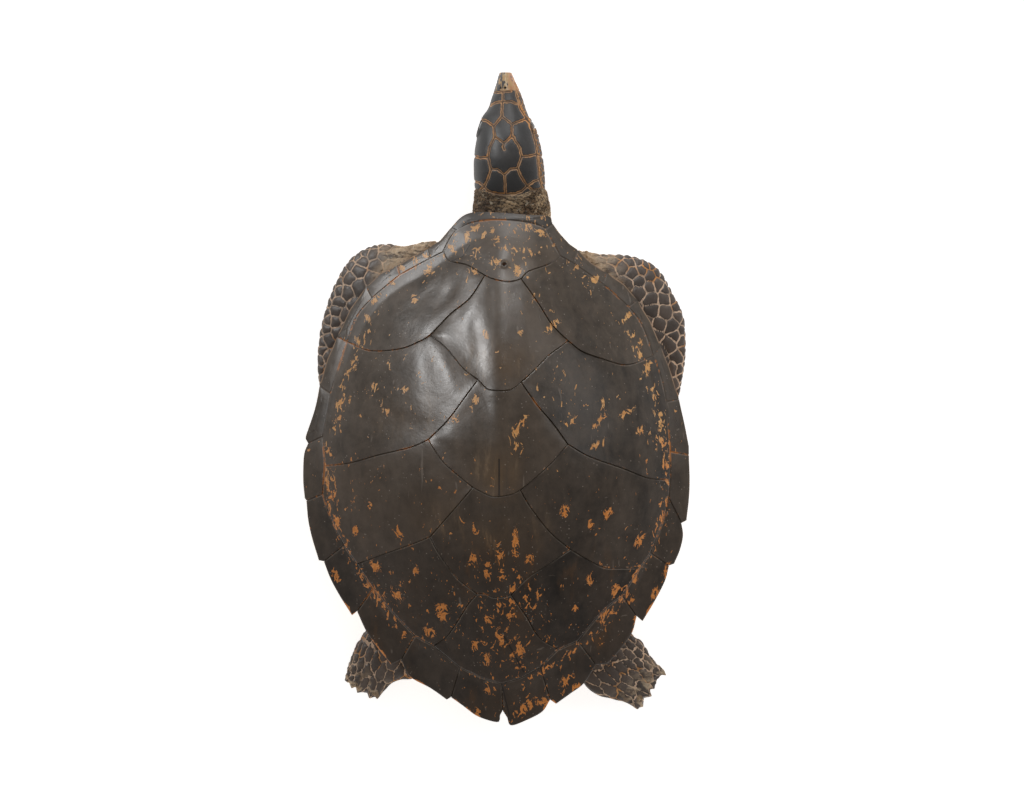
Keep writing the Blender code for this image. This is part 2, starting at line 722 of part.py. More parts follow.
def eye_place(side):
    columns = list(zip(*HEAD))
    middle, half = (float(np.interp(EYE_Y, columns[0], column)) for column in columns[1:3])
    x = middle + (half - EYE_INSET) * (-1 if side == LEFT else 1)
    return Vector((x * PLAN, EYE_Y * PLAN, EYE_HEIGHT * PLAN))


def ball(name, radius, place, surface):
    bm = bmesh.new()
    bmesh.ops.create_uvsphere(bm, u_segments=12, v_segments=7, radius=radius)
    bmesh.ops.translate(bm, verts=bm.verts, vec=place)
    return add_object(name, bm, surface)


def eyes(skull, surface, horn):
    """Two glass eyes in sockets cut into the head."""
    for side, word in zip(SIDES, ("left", "right")):
        place = eye_place(side)
        cut(skull, ball(f"socket_{word}", EYE_RADIUS + 2 * GAP, place, horn))
        ball(f"eye_{word}", EYE_RADIUS, place, surface)


def neck(surface):
    """Wrinkled neck from the belly plate's front to the back of the head."""
    columns = list(zip(*NECK_LENGTHS))
    stations = []
    ys = [columns[0][0], *np.linspace(NECK_FREE_Y, columns[0][-1], NECK_RINGS - 1)]
    for i, y in enumerate(ys):
        middle, half, low, high = (float(np.interp(y, columns[0], column)) for column in columns[1:])
        fold = NECK_WRINKLE if i % 2 else -NECK_WRINKLE
        inner = 0 < i < NECK_RINGS - 1
        stations.append((float(y), middle, half + fold * inner, low, high + fold * inner))
    bm, rows = loft(stations, barrel_ring, NECK_SEGMENTS)
    seat_on_body(rows[0])
    tuck_under_shell(bm.verts)
    return add_object("neck", bm, surface)


def tail(surface):
    bm, rows = loft(TAIL, barrel_ring, TAIL_SEGMENTS)
    seat_on_body(rows[0])
    tuck_under_shell(bm.verts)
    return add_object("tail", bm, surface)


def main():
    for old in list(bpy.data.objects):
        bpy.data.objects.remove(old)
    shell = material("scute", SCUTE_BROWN, 0.25)
    belly = material("belly", BELLY_CREAM, 0.45)
    scales = material("scales", SCALE_BROWN, 0.5)
    skin = material("skin", SKIN_TAN, 0.8)
    horn = material("horn", BEAK_HORN, 0.4)
    glass = material("eye", EYE_BLACK, 0.05)
    carapace(shell)
    plastron(belly)
    skull = head(scales)
    lower_jaw(horn)
    eyes(skull, glass, horn)
    neck(skin)
    flipper("front_flipper_left", FRONT_LEFT, scales)
    flipper("front_flipper_right", FRONT_RIGHT, scales)
    flipper("hind_flipper_left", HIND_LEFT, scales)
    flipper("hind_flipper_right", HIND_RIGHT, scales)
    tail(skin)


main()
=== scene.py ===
"""Looks of a preserved sea turtle: overlapping horn scutes, scaled head and flippers, granular neck skin.

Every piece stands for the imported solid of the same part. Plans are in millimetres, x to the turtle's right
and y towards its head; meshes and finishes are in metres.
"""

import math
import random

import bmesh
import bpy
import numpy as np
from bpy.props import FloatProperty, FloatVectorProperty, IntProperty, PointerProperty
from mathutils import Matrix, Vector, kdtree, noise


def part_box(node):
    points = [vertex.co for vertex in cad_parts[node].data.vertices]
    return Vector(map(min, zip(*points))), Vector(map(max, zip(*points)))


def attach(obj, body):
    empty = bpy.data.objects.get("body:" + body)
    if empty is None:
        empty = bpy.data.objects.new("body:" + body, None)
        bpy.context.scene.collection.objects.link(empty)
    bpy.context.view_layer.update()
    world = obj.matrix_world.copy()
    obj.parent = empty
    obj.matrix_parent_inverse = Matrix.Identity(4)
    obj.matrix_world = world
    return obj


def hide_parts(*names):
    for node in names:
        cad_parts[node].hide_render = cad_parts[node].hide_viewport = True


bl_info = {
    "name": "Preserved Sea Turtle",
    "version": (1, 0, 0),
    "blender": (4, 5, 0),
    "location": "View3D > Sidebar > Turtle",
    "description": "Dresses the packed solids of a preserved sea turtle with its scutes, scales and skin",
    "category": "Object",
}

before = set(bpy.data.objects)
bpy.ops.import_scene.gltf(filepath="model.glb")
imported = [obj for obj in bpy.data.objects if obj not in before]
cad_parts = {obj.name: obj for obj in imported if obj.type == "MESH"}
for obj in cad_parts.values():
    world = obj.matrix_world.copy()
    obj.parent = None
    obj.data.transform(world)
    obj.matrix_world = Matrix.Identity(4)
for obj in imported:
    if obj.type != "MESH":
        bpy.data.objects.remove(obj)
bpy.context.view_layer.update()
BODY = "root"

# The shell's plan and heights, in millimetres; its top and the belly's depth come from the frame
MM = 0.001
SHELL_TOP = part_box("carapace")[1].z / MM
BELLY_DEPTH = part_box("plastron")[1].z / MM + 0.3
CENTRE = (0.0, 30.0)
RIM_SIDE, RIM_FRONT_RISE, RIM_REAR_RISE, RIM_SHARPNESS = 61.0, 33.0, 6.0, 6
RIM_THICKNESS, RIM_CORNER = 4.0, 1.5
RIM_INSET, RIM_CHIP_LENGTH = 1.0, 3.2
RIM_NOTCH, RIM_NOTCH_FADE = 1.5, 1.1
KEEL_RISE, KEEL_WIDTH = 3.0, 16.0
NOSE_RISE, NOSE_Y, NOSE_WIDTH, NOSE_LENGTH = 5.0, 250.0, 24.0, 34.0
RELIEF_ROOM = 1.2
DOME_TOP = SHELL_TOP - KEEL_RISE - RELIEF_ROOM
COSTAL_SHARE, COSTAL_DROP = 0.89, 0.87
BRIDGE_SHARE, BELLY_SHARE, BELLY_ROUND = 0.80, 0.64, 0.02
TUCK_SHARE, CLEARANCE = 1.10, 1.6
UNDERSIDE_GAP = 6.0
OUTLINE_ANGLES, OUTLINE_SOFTENING = 240, 15

# The scutes' relief, in millimetres
SEAM_STEP, SEAM_WIDTH, SEAM_DEPTH = 2.6, 0.9, 0.65
SEAM_WOBBLE, SEAM_WOBBLE_LENGTH = 0.35, 7.0
QUIET_LOSS = 0.75
BELT_SHARE, BELT_WIDTH = 0.868, 0.026
FLECK_EDGE = 0.8
LEAST_FACING = 0.35
SHARP_ANGLE = 50
LEDGE, LEDGE_FADE = 1.7, 13.0
TUCK, TUCK_FADE = 0.4, 5.0
SCUTE_CROWN, CROWN_FADE = 1.0, 20.0
WAVE, WAVE_LENGTH, WAVE_START = 0.75, 52.0, 14.0
# Shorter waves of the horn: how many times shorter, height as a share, seed
SHORT_WAVES = ((2.3, 0.4, 5), (4.5, 0.12, 8))
EDGE_RINGS = (0.4, 0.9, 1.5, 2.4, 4.0, 6.5)
EDGE_SHARE, LAST_RING = 0.1, 0.965
CLOSING_RINGS = (0.75, 0.5, 0.25)
# Rings from the shell's edge to its seat: share of the way in, overhang, share of the edge's thickness
FLANGE_RINGS = (
    (0.0, 0.0, 0.45), (0.0, 0.35, 0.95), (0.10, 0.0, 1.0), (0.35, 0.0, 1.0), (0.65, 0.0, 1.0),
    (1.0, 0.0, 1.0),
)
HOLE_PLACE, HOLE_RADIUS, HOLE_SIDES = Vector((4.0, 239.0)), 2.2, 24
# Shares of the hole's radius: the faces taken out around it, and the first ring inside them
HOLE_CLEARING, HOLE_COLLAR = 2.6, 1.5
# Rings of the hole: share of its radius and depth
HOLE_PROFILE = ((1.12, 0.15), (1.0, 0.6), (0.95, 3.6), (0.6, 4.0))

# The other pieces' meshes: faces around and along, and how full their sections are (2 is an ellipse)
MERGE_DISTANCE = 3e-7
BELLY_MESH, BELLY_ROWS = 400, (62, 24, 3)
SKULL_MESH, SKULL_FULLNESS = (330, 260), 2.25
JAW_MESH, JAW_FULLNESS = (170, 110), 2.3
NECK_MESH, NECK_FULLNESS = (330, 110), 2.3
TAIL_MESH, TAIL_FULLNESS = (90, 70), 2.2
FRONT_MESH, HIND_MESH, FLIPPER_FULLNESS = (170, 380), (190, 190), 2.4
FLIPPER_CHORD = 60.0
TUFT_WIDTH, TUFT_REACH = 6.0, 11.0
MOST_PLATES, MOST_TRIES = 4000, 14000
# The drift that makes the plates' seams uneven: its length as a share of a plate, and its seeds
DRIFT_LENGTH, DRIFT_SEEDS = 0.45, (3.0, 9.0, 15.0)
BLEND_REACH = 50
# Steps from one row to the next of an eased path or table, and how near two points count as one
PATH_STEPS, TABLE_STEPS, SAME_SPOT = 24, 40, 1e-6
# Share of a drawn line's half width that is its full-strength core
LINE_CORE = 0.3

LEFT, RIGHT = 0, 1
SIDES = (LEFT, RIGHT)
MARGINALS = 12

# Outer edge of each marginal from the nuchal back; the last point is its rear corner
RIM = (
    (
        ((-60, 284), (-67, 276), (-73, 269)),
        ((-88, 259), (-103, 252)),
        ((-125, 239), (-145, 230)),
        ((-162, 214), (-181, 188)),
        ((-197, 154), (-209, 127)),
        ((-218, 95), (-224, 67), (-234, 37), (-235, 31)),
        ((-232, 26), (-237, 12), (-238, -18), (-236, -40)),
        ((-234, -43), (-232, -66), (-227, -89), (-219, -115)),
        ((-213, -116), (-205, -137), (-193, -159), (-179, -181)),
        ((-173, -176), (-162, -200), (-148, -220), (-132, -240)),
        ((-120, -234), (-110, -254), (-85, -268), (-65, -282)),
        ((-60, -279), (-46, -289), (-28, -302), (-4, -309), (-1, -301)),
    ),
    (
        ((62, 289), (71, 277), (82, 265)),
        ((92, 258), (109, 242)),
        ((127, 231), (148, 217)),
        ((164, 198), (180, 172)),
        ((192, 143), (203, 116)),
        ((214, 79), (221, 48), (226, 22)),
        ((226, 12), (227, -18), (226, -42), (223, -67)),
        ((217, -70), (219, -85), (215, -103), (208, -119)),
        ((202, -121), (197, -140), (183, -167), (170, -188)),
        ((163, -182), (157, -203), (140, -226), (128, -239)),
        ((114, -240), (100, -262), (83, -275), (66, -287)),
        ((59, -282), (50, -296), (32, -306), (12, -313), (7, -303)),
    ),
)
FRONT_EDGE = ((57, 298), (30, 300), (6, 302), (-20, 303), (-37, 302), (-49, 296))

# Where seams meet, left and right. rim0 to rim12 come from RIM; inner0 to inner12 lie inside the marginals
MEETINGS = {
    "inner0": ((-54, 281), (54, 283)),
    "shoulder": ((-69, 255), (71, 250)),
    "inner1": ((-85, 247), (86, 242)),
    "inner2": ((-121, 228), (122, 217)),
    "inner3": ((-155, 200), (153, 190)),
    "inner4": ((-185, 148), (183, 131)),
    "inner5": ((-205, 86), (199, 76)),
    "inner6": ((-214, 34), (203, 16)),
    "outer23": ((-211, -1), (203, -18)),
    "inner7": ((-214, -35), (201, -39)),
    "inner8": ((-188, -96), (179, -105)),
    "outer34": ((-172, -118), (166, -123)),
    "inner9": ((-153, -148), (145, -156)),
    "inner10": ((-103, -204), (92, -210)),
    "outer45": ((-80, -216), (68, -220)),
    "inner11": ((-49, -242), (47, -241)),
    "inner12": ((1, -261), (1, -261)),
    "rim12": ((2, -295), (2, -295)),
    "spine12": ((-19, 226), (24, 222)),
    "flank12": ((-84, 155), (80, 148)),
    "spine23": ((-27, 102), (24, 99)),
    "flank23": ((-86, 31), (79, 26)),
    "spine34": ((-33, -25), (23, -28)),
    "flank34": ((-84, -84), (82, -99)),
    "spine45": ((-28, -152), (12, -153)),
}

# Points that bend a seam between two meetings, left and right
BENDS = {
    ("inner0", "shoulder"): (((-62, 269),), ((60, 270),)),
    ("inner3", "inner4"): (((-173, 178),), ((169, 168),)),
    ("inner4", "inner5"): (((-196, 113),), ((191, 109),)),
    ("inner7", "inner8"): (((-204, -63),), ((194, -66),)),
    ("inner9", "inner10"): (((-130, -175),), ((121, -175),)),
    ("inner11", "inner12"): (((-20, -255),), ((24, -254),)),
    ("shoulder", "spine12"): (((-62, 244), (-41, 239)), ((57, 240), (33, 231))),
    ("spine12", "flank12"): (((-37, 199), (-60, 180)), ((43, 195), (61, 167))),
    ("flank12", "inner4"): (
        ((-96, 148), (-120, 139), (-156, 137)),
        ((96, 136), (118, 128), (150, 120)),
    ),
    ("flank12", "spine23"): (((-65, 140), (-45, 116)), ((57, 131), (38, 112))),
    ("spine23", "flank23"): (((-42, 82), (-63, 54)), ((43, 72), (61, 51))),
    ("flank23", "outer23"): (
        ((-107, 22), (-144, 13), (-180, 3)),
        ((105, 11), (144, -3), (175, -15)),
    ),
    ("flank23", "spine34"): (((-69, 6), (-49, -12)), ((61, 5), (38, -16))),
    ("spine34", "flank34"): (((-50, -45), (-70, -68)), ((34, -47), (57, -77))),
    ("flank34", "outer34"): (
        ((-108, -94), (-138, -105)),
        ((109, -115), (125, -122), (142, -123)),
    ),
    ("flank34", "spine45"): (((-74, -103), (-52, -133)), ((53, -119), (31, -133))),
    ("spine45", "outer45"): (((-39, -165), (-62, -201)), ((30, -179), (45, -204))),
}
# Seams that cross the midline, from left to right
CROSSINGS = {
    "inner0": ((-37, 289), (-13, 293), (4, 293), (25, 291), (41, 288)),
    "spine12": ((-10, 222), (4, 219), (14, 219)),
    "spine23": ((-19, 94), (-12, 90), (11, 90)),
    "spine34": ((-15, -34), (-6, -36), (13, -33)),
    "spine45": ((-18, -152), (-9, -156), (5, -155)),
}
# The line inside the marginals, from the front to the back
INNER_LINE = (
    "inner0 shoulder inner1 inner2 inner3 inner4 inner5 inner6 outer23 inner7 inner8 outer34 inner9 inner10 "
    "outer45 inner11 inner12"
).split()
VERTEBRALS = {
    "vertebral_1": "inner0 shoulder spine12",
    "vertebral_2": "spine12 flank12 spine23",
    "vertebral_3": "spine23 flank23 spine34",
    "vertebral_4": "spine34 flank34 spine45",
    "vertebral_5": "spine45 outer45 inner11 inner12",
}
COSTALS = {
    "costal_1": "shoulder spine12 flank12 inner4 inner3 inner2 inner1",
    "costal_2": "flank12 spine23 flank23 outer23 inner6 inner5 inner4",
    "costal_3": "flank23 spine34 flank34 outer34 inner8 inner7 outer23",
    "costal_4": "flank34 spine45 outer45 inner10 inner9 outer34",
}

# Amber flecks: place x and y, half length, half width, and how far the long way is turned from front-to-back
FLECKS = (
    (19, 43, 18, 4.6, -35), (20, 21, 12, 4, 45), (28, 57, 5, 2, -10), (-30, 79, 7, 4, 0), (-54, 56, 6, 4, 0),
    (-18, 156, 6, 3, 20), (23, 159, 5, 3, 0), (61, 165, 11, 4, -50), (-1, 119, 4, 2, 0), (-150, 94, 6, 4, 0),
    (-116, 91, 7, 4, 90), (-135, 64, 6, 4, 60), (-180, 78, 6, 2, 0), (-96, 108, 5, 2, 0),
    (122, 75, 8, 4, -30), (82, 52, 11, 4, -60), (117, 54, 12, 4, -40), (150, 63, 11, 4, -50),
    (115, 25, 12, 4, -65), (100, 72, 6, 3, -40), (166, 42, 7, 4, -30), (-196, -68, 8, 4, 10),
    (-202, -26, 17, 4, 5), (-123, -77, 10, 4, 30), (-156, -47, 5, 2, 0), (-174, -77, 6, 4, 0),
    (76, -53, 7, 5, 0), (127, -56, 8, 5, -40), (106, -70, 6, 4, 0), (166, -89, 10, 5, -30),
    (-30, -75, 8, 4, 0), (-33, -114, 10, 5, 0), (-1, -101, 11, 5, 0), (17, -93, 18, 4, 0),
    (-16, -123, 10, 4, 0), (34, -111, 7, 4, -20), (1, -129, 7, 4, 0), (-69, -174, 11, 7, 20),
    (-124, -154, 10, 5, 35), (-150, -119, 8, 5, 35), (-102, -124, 7, 4, 0), (-85, -199, 8, 5, 50),
    (46, -153, 7, 4, 0), (123, -181, 10, 5, -30), (136, -150, 10, 5, -30), (88, -172, 6, 4, 0),
    (106, -136, 6, 4, 0), (-31, 282, 7, 5, -70), (-10, 279, 5, 3, 0), (-5, 270, 5, 3, 0), (-9, 243, 8, 5, 80),
    (20, 231, 7, 4, -10), (31, 284, 7, 5, 60), (47, 278, 7, 4, 60), (-42, 270, 10, 3, -20),
    (-59, 260, 6, 4, 10), (28, 255, 5, 2, 0), (35, 253, 5, 2, 20), (-31, 257, 5, 3, 0), (-87, 232, 7, 5, 0),
    (-150, 199, 7, 4, -45), (-103, 199, 6, 4, 0), (-33, 231, 6, 4, 60), (-13, -183, 7, 4, 60),
    (-1, -207, 8, 5, 20), (23, -220, 10, 5, 10), (-31, -214, 7, 4, -10), (11, -177, 6, 4, 0),
    (-17, -232, 7, 5, 0), (-54, -293, 8, 4, 30), (-42, -298, 7, 4, 0), (-28, -297, 7, 4, 0),
    (-16, -268, 7, 4, 10), (26, -294, 9, 4, -20), (36, -287, 8, 4, -30), (51, -283, 9, 4, -50),
    (79, -258, 10, 5, -50), (89, -267, 8, 4, -50), (156, -162, 6, 4, 0), (161, -187, 6, 3, 0),
    (185, -155, 8, 4, -20), (200, -125, 9, 4, -15), (-198, -133, 9, 4, 20), (-118, 236, 6, 3, 60),
    (-104, 247, 6, 3, 50), (-90, 251, 5, 3, 40), (-132, 220, 6, 3, 40), (-160, 176, 6, 3, 30),
    (-172, 150, 6, 3, 20), (92, 238, 6, 3, -50), (112, 222, 8, 4, -50), (60, 262, 6, 3, -60),
    (152, 178, 8, 3, -35), (168, 148, 7, 3, -25), (-176, 120, 6, 3, 10), (178, 118, 8, 3, -15),
)
# Stretches of seam that are worn down to amber: place x and y, reach along the seam
WORN_SEAMS = (
    (-16, 291, 24), (3, 219, 15), (57, 116, 9), (38, 76, 12), (-214, -10, 30), (-209, -60, 26), (-84, 31, 7),
    (-120, 226, 30), (-180, 165, 22), (140, 205, 26), (201, 10, 40), (196, -60, 30), (-155, -150, 20),
    (-86, 155, 8), (80, 148, 9), (-190, 120, 16), (186, 122, 16),
)
# How much lighter or darker than usual a scute's horn is
SCUTE_TONES = {
    "nuchal": -1.2, "vertebral_2": 0.2, "vertebral_3": 0.4,
    "costal_1_l": 0.0, "costal_2_l": 0.2, "costal_3_l": 0.9, "costal_4_l": -0.1,
    "costal_1_r": -0.2, "costal_2_r": -0.65, "costal_3_r": -0.3, "costal_4_r": -1.1,
}
# Slow swells and hollows of the horn: place x and y, half width, half length, turn, height
SWELLS = (
    (-74, 165, 22, 34, 0, 1.1), (-40, 178, 9, 30, -18, 0.9), (-62, 205, 8, 22, -32, -1.0),
    (-82, 222, 9, 26, -48, 0.9), (-28, 150, 7, 24, 8, -0.8), (-62, 108, 10, 34, 12, 0.9),
    (-88, 110, 8, 30, 10, -0.7), (-12, 196, 5, 22, 2, -0.6), (118, 205, 14, 60, 38, 1.1),
    (96, 186, 10, 50, 40, -0.9), (30, 178, 9, 30, 10, 0.6), (-60, 40, 12, 26, 30, 0.6),
    (60, 60, 14, 30, -25, 0.6), (-25, -80, 10, 34, 0, 0.5), (28, -90, 10, 34, 0, 0.5),
    (-130, -20, 18, 40, 10, 0.6),
)
# Browner, more see-through horn: place x and y, half width, half length, strength
BROWN_PATCHES = (
    (0, 122, 34, 26, 0.8), (-2, -8, 26, 34, 1.0), (0, -105, 52, 44, 1.0), (5, -205, 46, 46, 0.8),
    (-105, 62, 40, 26, 0.45), (-95, -150, 40, 40, 0.6), (100, -150, 45, 40, 0.6), (-75, -65, 40, 26, 0.4),
    (-150, -210, 40, 40, 0.5), (120, -215, 50, 40, 0.6), (0, -290, 60, 20, 0.9),
)
# Dark lines painted along creases and cracks as their shade, the keel's among them: ends x and y, and half
# width
CREASES = (
    ((-58, 244), (-46, 249), 0.9),
    ((-46, 249), (-37, 263), 1.0),
    ((-2, 8), (-2, -34), 1.6),
    ((4, -203), (27, -246), 1.5),
    ((1, -262), (10, -300), 1.2),
)

# Flippers: leading edge x, y; trailing edge x, y; height of the middle; half thickness
FRONT_LEFT = (
    (-58, 232, -140, 165, 36, 17),
    (-74, 268, -158, 170, 40, 19),
    (-116, 264, -168, 172, 42, 19),
    (-150, 264, -172, 165, 41, 17),
    (-180, 248, -171, 150, 38, 15),
    (-200, 217, -171, 132, 34, 13),
    (-213, 180, -173, 112, 30, 11),
    (-220, 146, -176, 92, 26, 9.5),
    (-221, 112, -179, 70, 22, 8),
    (-217, 80, -181, 48, 18, 7),
    (-211, 48, -181, 25, 15, 6),
    (-204, 18, -180, 4, 12, 5),
    (-194, -10, -183, -14, 9, 4),
)
FRONT_RIGHT = (
    (76, 222, 140, 165, 36, 17),
    (88, 256, 156, 168, 40, 19),
    (119, 254, 166, 168, 42, 19),
    (158, 250, 171, 160, 41, 17),
    (187, 237, 171, 146, 38, 15),
    (206, 207, 171, 130, 34, 13),
    (218, 183, 172, 112, 30, 11),
    (222, 158, 174, 92, 26, 9.5),
    (222, 126, 176, 70, 22, 8),
    (217, 94, 177, 48, 18, 7),
    (209, 58, 177, 25, 15, 6),
    (200, 25, 176, 4, 12, 5),
    (190, -5, 179, -12, 9, 4),
)
HIND_LEFT = (
    (-126, -160, -78, -200, 34, 15),
    (-146, -182, -88, -236, 32, 15),
    (-163, -201, -104, -257, 29, 13),
    (-174, -217, -122, -260, 26, 11),
    (-182, -236, -134, -266, 22, 9),
    (-187, -256, -144, -278, 18, 7),
    (-183, -274, -156, -283, 15, 5),
)
HIND_RIGHT = (
    (126, -165, 78, -205, 34, 15),
    (143, -188, 90, -243, 32, 15),
    (158, -205, 102, -267, 29, 13),
    (171, -216, 118, -279, 26, 11),
    (182, -234, 134, -283, 22, 9),
    (197, -253, 152, -288, 18, 7),
    (184, -271, 164, -296, 15, 5),
)

# Head: y, middle x, half width, underside height, top height
HEAD = (
    (322, 11, 41.5, 16, 86),
    (338, 10.5, 42.5, 15, 94),
    (350, 10, 42.5, 14, 98),
    (352, 10, 42.4, 14, 98.5),
    (368, 9, 41.5, 13, 101),
    (386, 8.5, 38.5, 14, 100),
    (402, 7.5, 34, 15, 95),
    (414, 6.5, 29, 17, 89),
    (426, 7, 23.5, 19, 83),
    (438, 7.3, 19.5, 21, 77),
    (450, 7, 15.5, 23, 70),
    (460, 6.5, 11.5, 25, 63),
    (467, 5.7, 9, 27, 55),
    (473, 5.4, 6.5, 30, 46),
)
HEAD_OVERLAP, HOOK_DEPTH, COLLAR_SPAN = 6.0, 4.5, (-324.0, -322.0)
JAW_HINGE_Y, JAW_TIP_Y, JAW_WIDTH = 351.0, 463.0, 0.93
MOUTH_BACK, MOUTH_FRONT = 44.0, 35.0
EYE_Y, EYE_HEIGHT, EYE_INSET, EYE_RADIUS = 405.0, 68.0, 9.4, 9.6
SOCKET_DEPTH, LID_RISE, LID_PLACE, LID_WIDTH = 5.5, 1.7, 10.6, 1.7
BEAK_Y, BEAK_BLEND = 449.5, 1.0
NOSTRILS, NOSTRIL_RADIUS, NOSTRIL_DEPTH = ((-0.5, 452.5), (5.0, 452.5)), 1.7, 2.8
# Bulges of the head: y and its spread, share of the height and its spread, rise
BROW = (408, 14, 0.55, 0.22, 2.2)
LEFT_BUMP = (419, 5.5, 0.35, 0.4, 2.2)
# Seams between the scales of the crown, as lines of x, y
CROWN_SEAMS = (
    ((2, 446), (2.2, 435)),
    ((-12, 431.5), (-7, 434.5), (2.2, 435.2), (13, 435.2), (19, 433)),
    ((1.3, 435), (1, 417.3)),
    ((-7, 447), (2, 447.6), (12, 448)),
    ((1, 417.3), (-9, 405.3), (-7.5, 392.4), (3.8, 384.4), (12.8, 392.4), (13.8, 407.3), (1, 417.3)),
    ((-9, 405.3), (-18, 413), (-23, 416)),
    ((13.8, 407.3), (24.7, 412.3), (30, 415)),
    (
        (-7.5, 392.4), (-14, 379.5), (-16, 368), (-12, 353.6), (-4.7, 353.2), (4.4, 346.6), (11.2, 353.2),
        (19.8, 354.6),
    ),
    ((19.8, 354.6), (25, 368.5), (22.8, 378.5), (15.2, 391.4), (12.8, 392.4)),
    ((-16, 368), (-25, 367.5), (-34, 371)),
    ((25, 368.5), (34.7, 369.5), (42.7, 372), (52, 369.5)),
    ((-12, 353.4), (-16, 341.6), (-20.6, 332)),
    ((4.4, 346.6), (5.2, 324)),
    ((19.8, 354.6), (24.7, 343.6), (31.7, 333.3)),
    ((-20.6, 332), (-26, 336.7), (-35, 338.6)),
    ((31.7, 333.3), (39.7, 338.6), (47, 341.6)),
    ((-20.6, 332), (-16, 327.3), (-7, 324.9), (5.2, 323.7), (15.8, 324.5), (25, 327.3), (31.7, 333.3)),
    ((-36, 327.5), (-27, 326.5), (-20.6, 332)),
    ((31.7, 333.3), (38.7, 328), (50, 329)),
    ((3.8, 384.4), (2.8, 380), (4, 376.5)),
)
# The crown's right edge, x by y: small cheek scales lie beyond it
CROWN_RIGHT = (
    (329.7, 50), (341.6, 46.6), (357.6, 45.2), (372, 43.3), (385.4, 41.8), (399.4, 37.2), (415, 29.7),
    (429, 22.8), (443, 19.4), (458, 16.4),
)
# Neck: y, middle x, half width, underside height, top height
NECK_LENGTHS = (
    (252, 12, 50, 14, 57),
    (262, 12, 52, 13, 62),
    (290, 12.5, 48.6, 12.5, 74),
    (304, 12.8, 47.4, 12.5, 79),
    (314, 12.7, 46.4, 13, 84),
    (322, 12.2, 45, 14.5, 87.6),
    (329, 11.6, 43.8, 15.5, 90.5),
    (334, 11, 39, 20, 86),
)
TAIL = ((-214, 0, 20, 14, 48), (-240, 0, 15, 10, 40), (-262, 0, 10, 8, 28), (-278, 0, 4.5, 8, 17))
TAIL_TIP_Y, TAIL_RING = -277.5, 6.0

# Seams of the belly plate on the turtle's right; the left is their mirror image
BELLY_SEAMS = (
    ((0, 196), (0, -214)),
    ((0, 196), (16, 222)),
    ((0, 166), (44, 180), (84, 186)),
    ((0, 108), (60, 116), (122, 108)),
    ((0, 26), (70, 32), (136, 24)),
    ((0, -62), (70, -60), (134, -74)),
    ((0, -138), (52, -142), (100, -158)),
    ((78, 214), (110, 160), (130, 96), (138, 24), (134, -70), (112, -130), (84, -176)),
    ((130, 96), (176, 112)),
    ((138, 30), (186, 34)),
    ((138, -22), (184, -34)),
    ((130, -88), (172, -108)),
)


def colour(name, description, default):
    return FloatVectorProperty(
        name=name, description=description, default=default, subtype="COLOR", size=3, min=0, max=1
    )


class ShellLook(bpy.types.PropertyGroup):
    """Sizes and colours of the horn scutes."""

    # The front horn is paler and greyer than the rear horn: horn colour and painted light from the front
    front_brown: colour("Front horn", "Grey-brown of the front scutes", (0.096, 0.072, 0.052))
    rear_brown: colour("Rear horn", "Darker brown of the rear scutes", (0.052, 0.037, 0.027))
    amber: colour("Amber", "Flecks and worn edges", (0.50, 0.175, 0.036))
    belly_cream: colour("Belly", "Cream horn of the belly plate", (0.62, 0.47, 0.24))
    polish: FloatProperty(
        name="Polish", description="Roughness of the polished horn", default=0.29, min=0.02, max=1,
        subtype="FACTOR",
    )
    wave: FloatProperty(
        name="Wave", description="Height of the horn's slow waves", default=WAVE * MM, unit="LENGTH", min=0
    )
    inner_rings: IntProperty(
        name="Rings", description="Rings of faces from a large scute's edge to its middle", default=15, min=4
    )


class SkinLook(bpy.types.PropertyGroup):
    """Sizes and colours of the scaled head, flippers, neck and tail."""

    scale_dark: colour("Head scales", "Dark scales of the head", (0.030, 0.030, 0.031))
    flipper_dark: colour("Flipper plates", "Brown-grey plates of the flippers", (0.082, 0.062, 0.051))
    seam_tan: colour("Scale seams", "Pale skin between plates", (0.72, 0.51, 0.36))
    seam_orange: colour("Orange seams", "Seams where they are brighter", (0.62, 0.28, 0.085))
    skin_tan: colour("Neck skin", "Dry granular skin", (0.52, 0.365, 0.215))
    hide_tan: colour("Shoulder skin", "Dry skin where the flippers begin", (0.70, 0.53, 0.36))
    beak_horn: colour("Beak", "Streaked horn of the beak", (0.50, 0.30, 0.12))
    plate_size: FloatProperty(
        name="Plate size", description="Usual width of a flipper's plate", default=0.0130, unit="LENGTH",
        min=0.004,
    )
    plate_rise: FloatProperty(
        name="Plate rise", description="Height of a plate over its seam", default=0.0012, unit="LENGTH", min=0
    )


class StudioLook(bpy.types.PropertyGroup):
    """Camera, lights and floor."""

    camera_height: FloatProperty(
        name="Camera height", description="Above what the specimen rests on", default=6.066, unit="LENGTH"
    )
    lens: FloatProperty(name="Lens", description="Focal length", default=175.8, unit="CAMERA", min=1)
    sky: FloatProperty(name="Sky", description="Strength of the even light", default=0.34, min=0)
    floor_white: FloatProperty(
        name="Floor", description="How pale the floor is", default=0.9, min=0, max=1, subtype="FACTOR"
    )
    floor_glow: FloatProperty(
        name="Floor glow", description="Light of the floor itself, to thin the shadow", default=0.74, min=0
    )


# ---------------------------------------------------------------- shader expressions


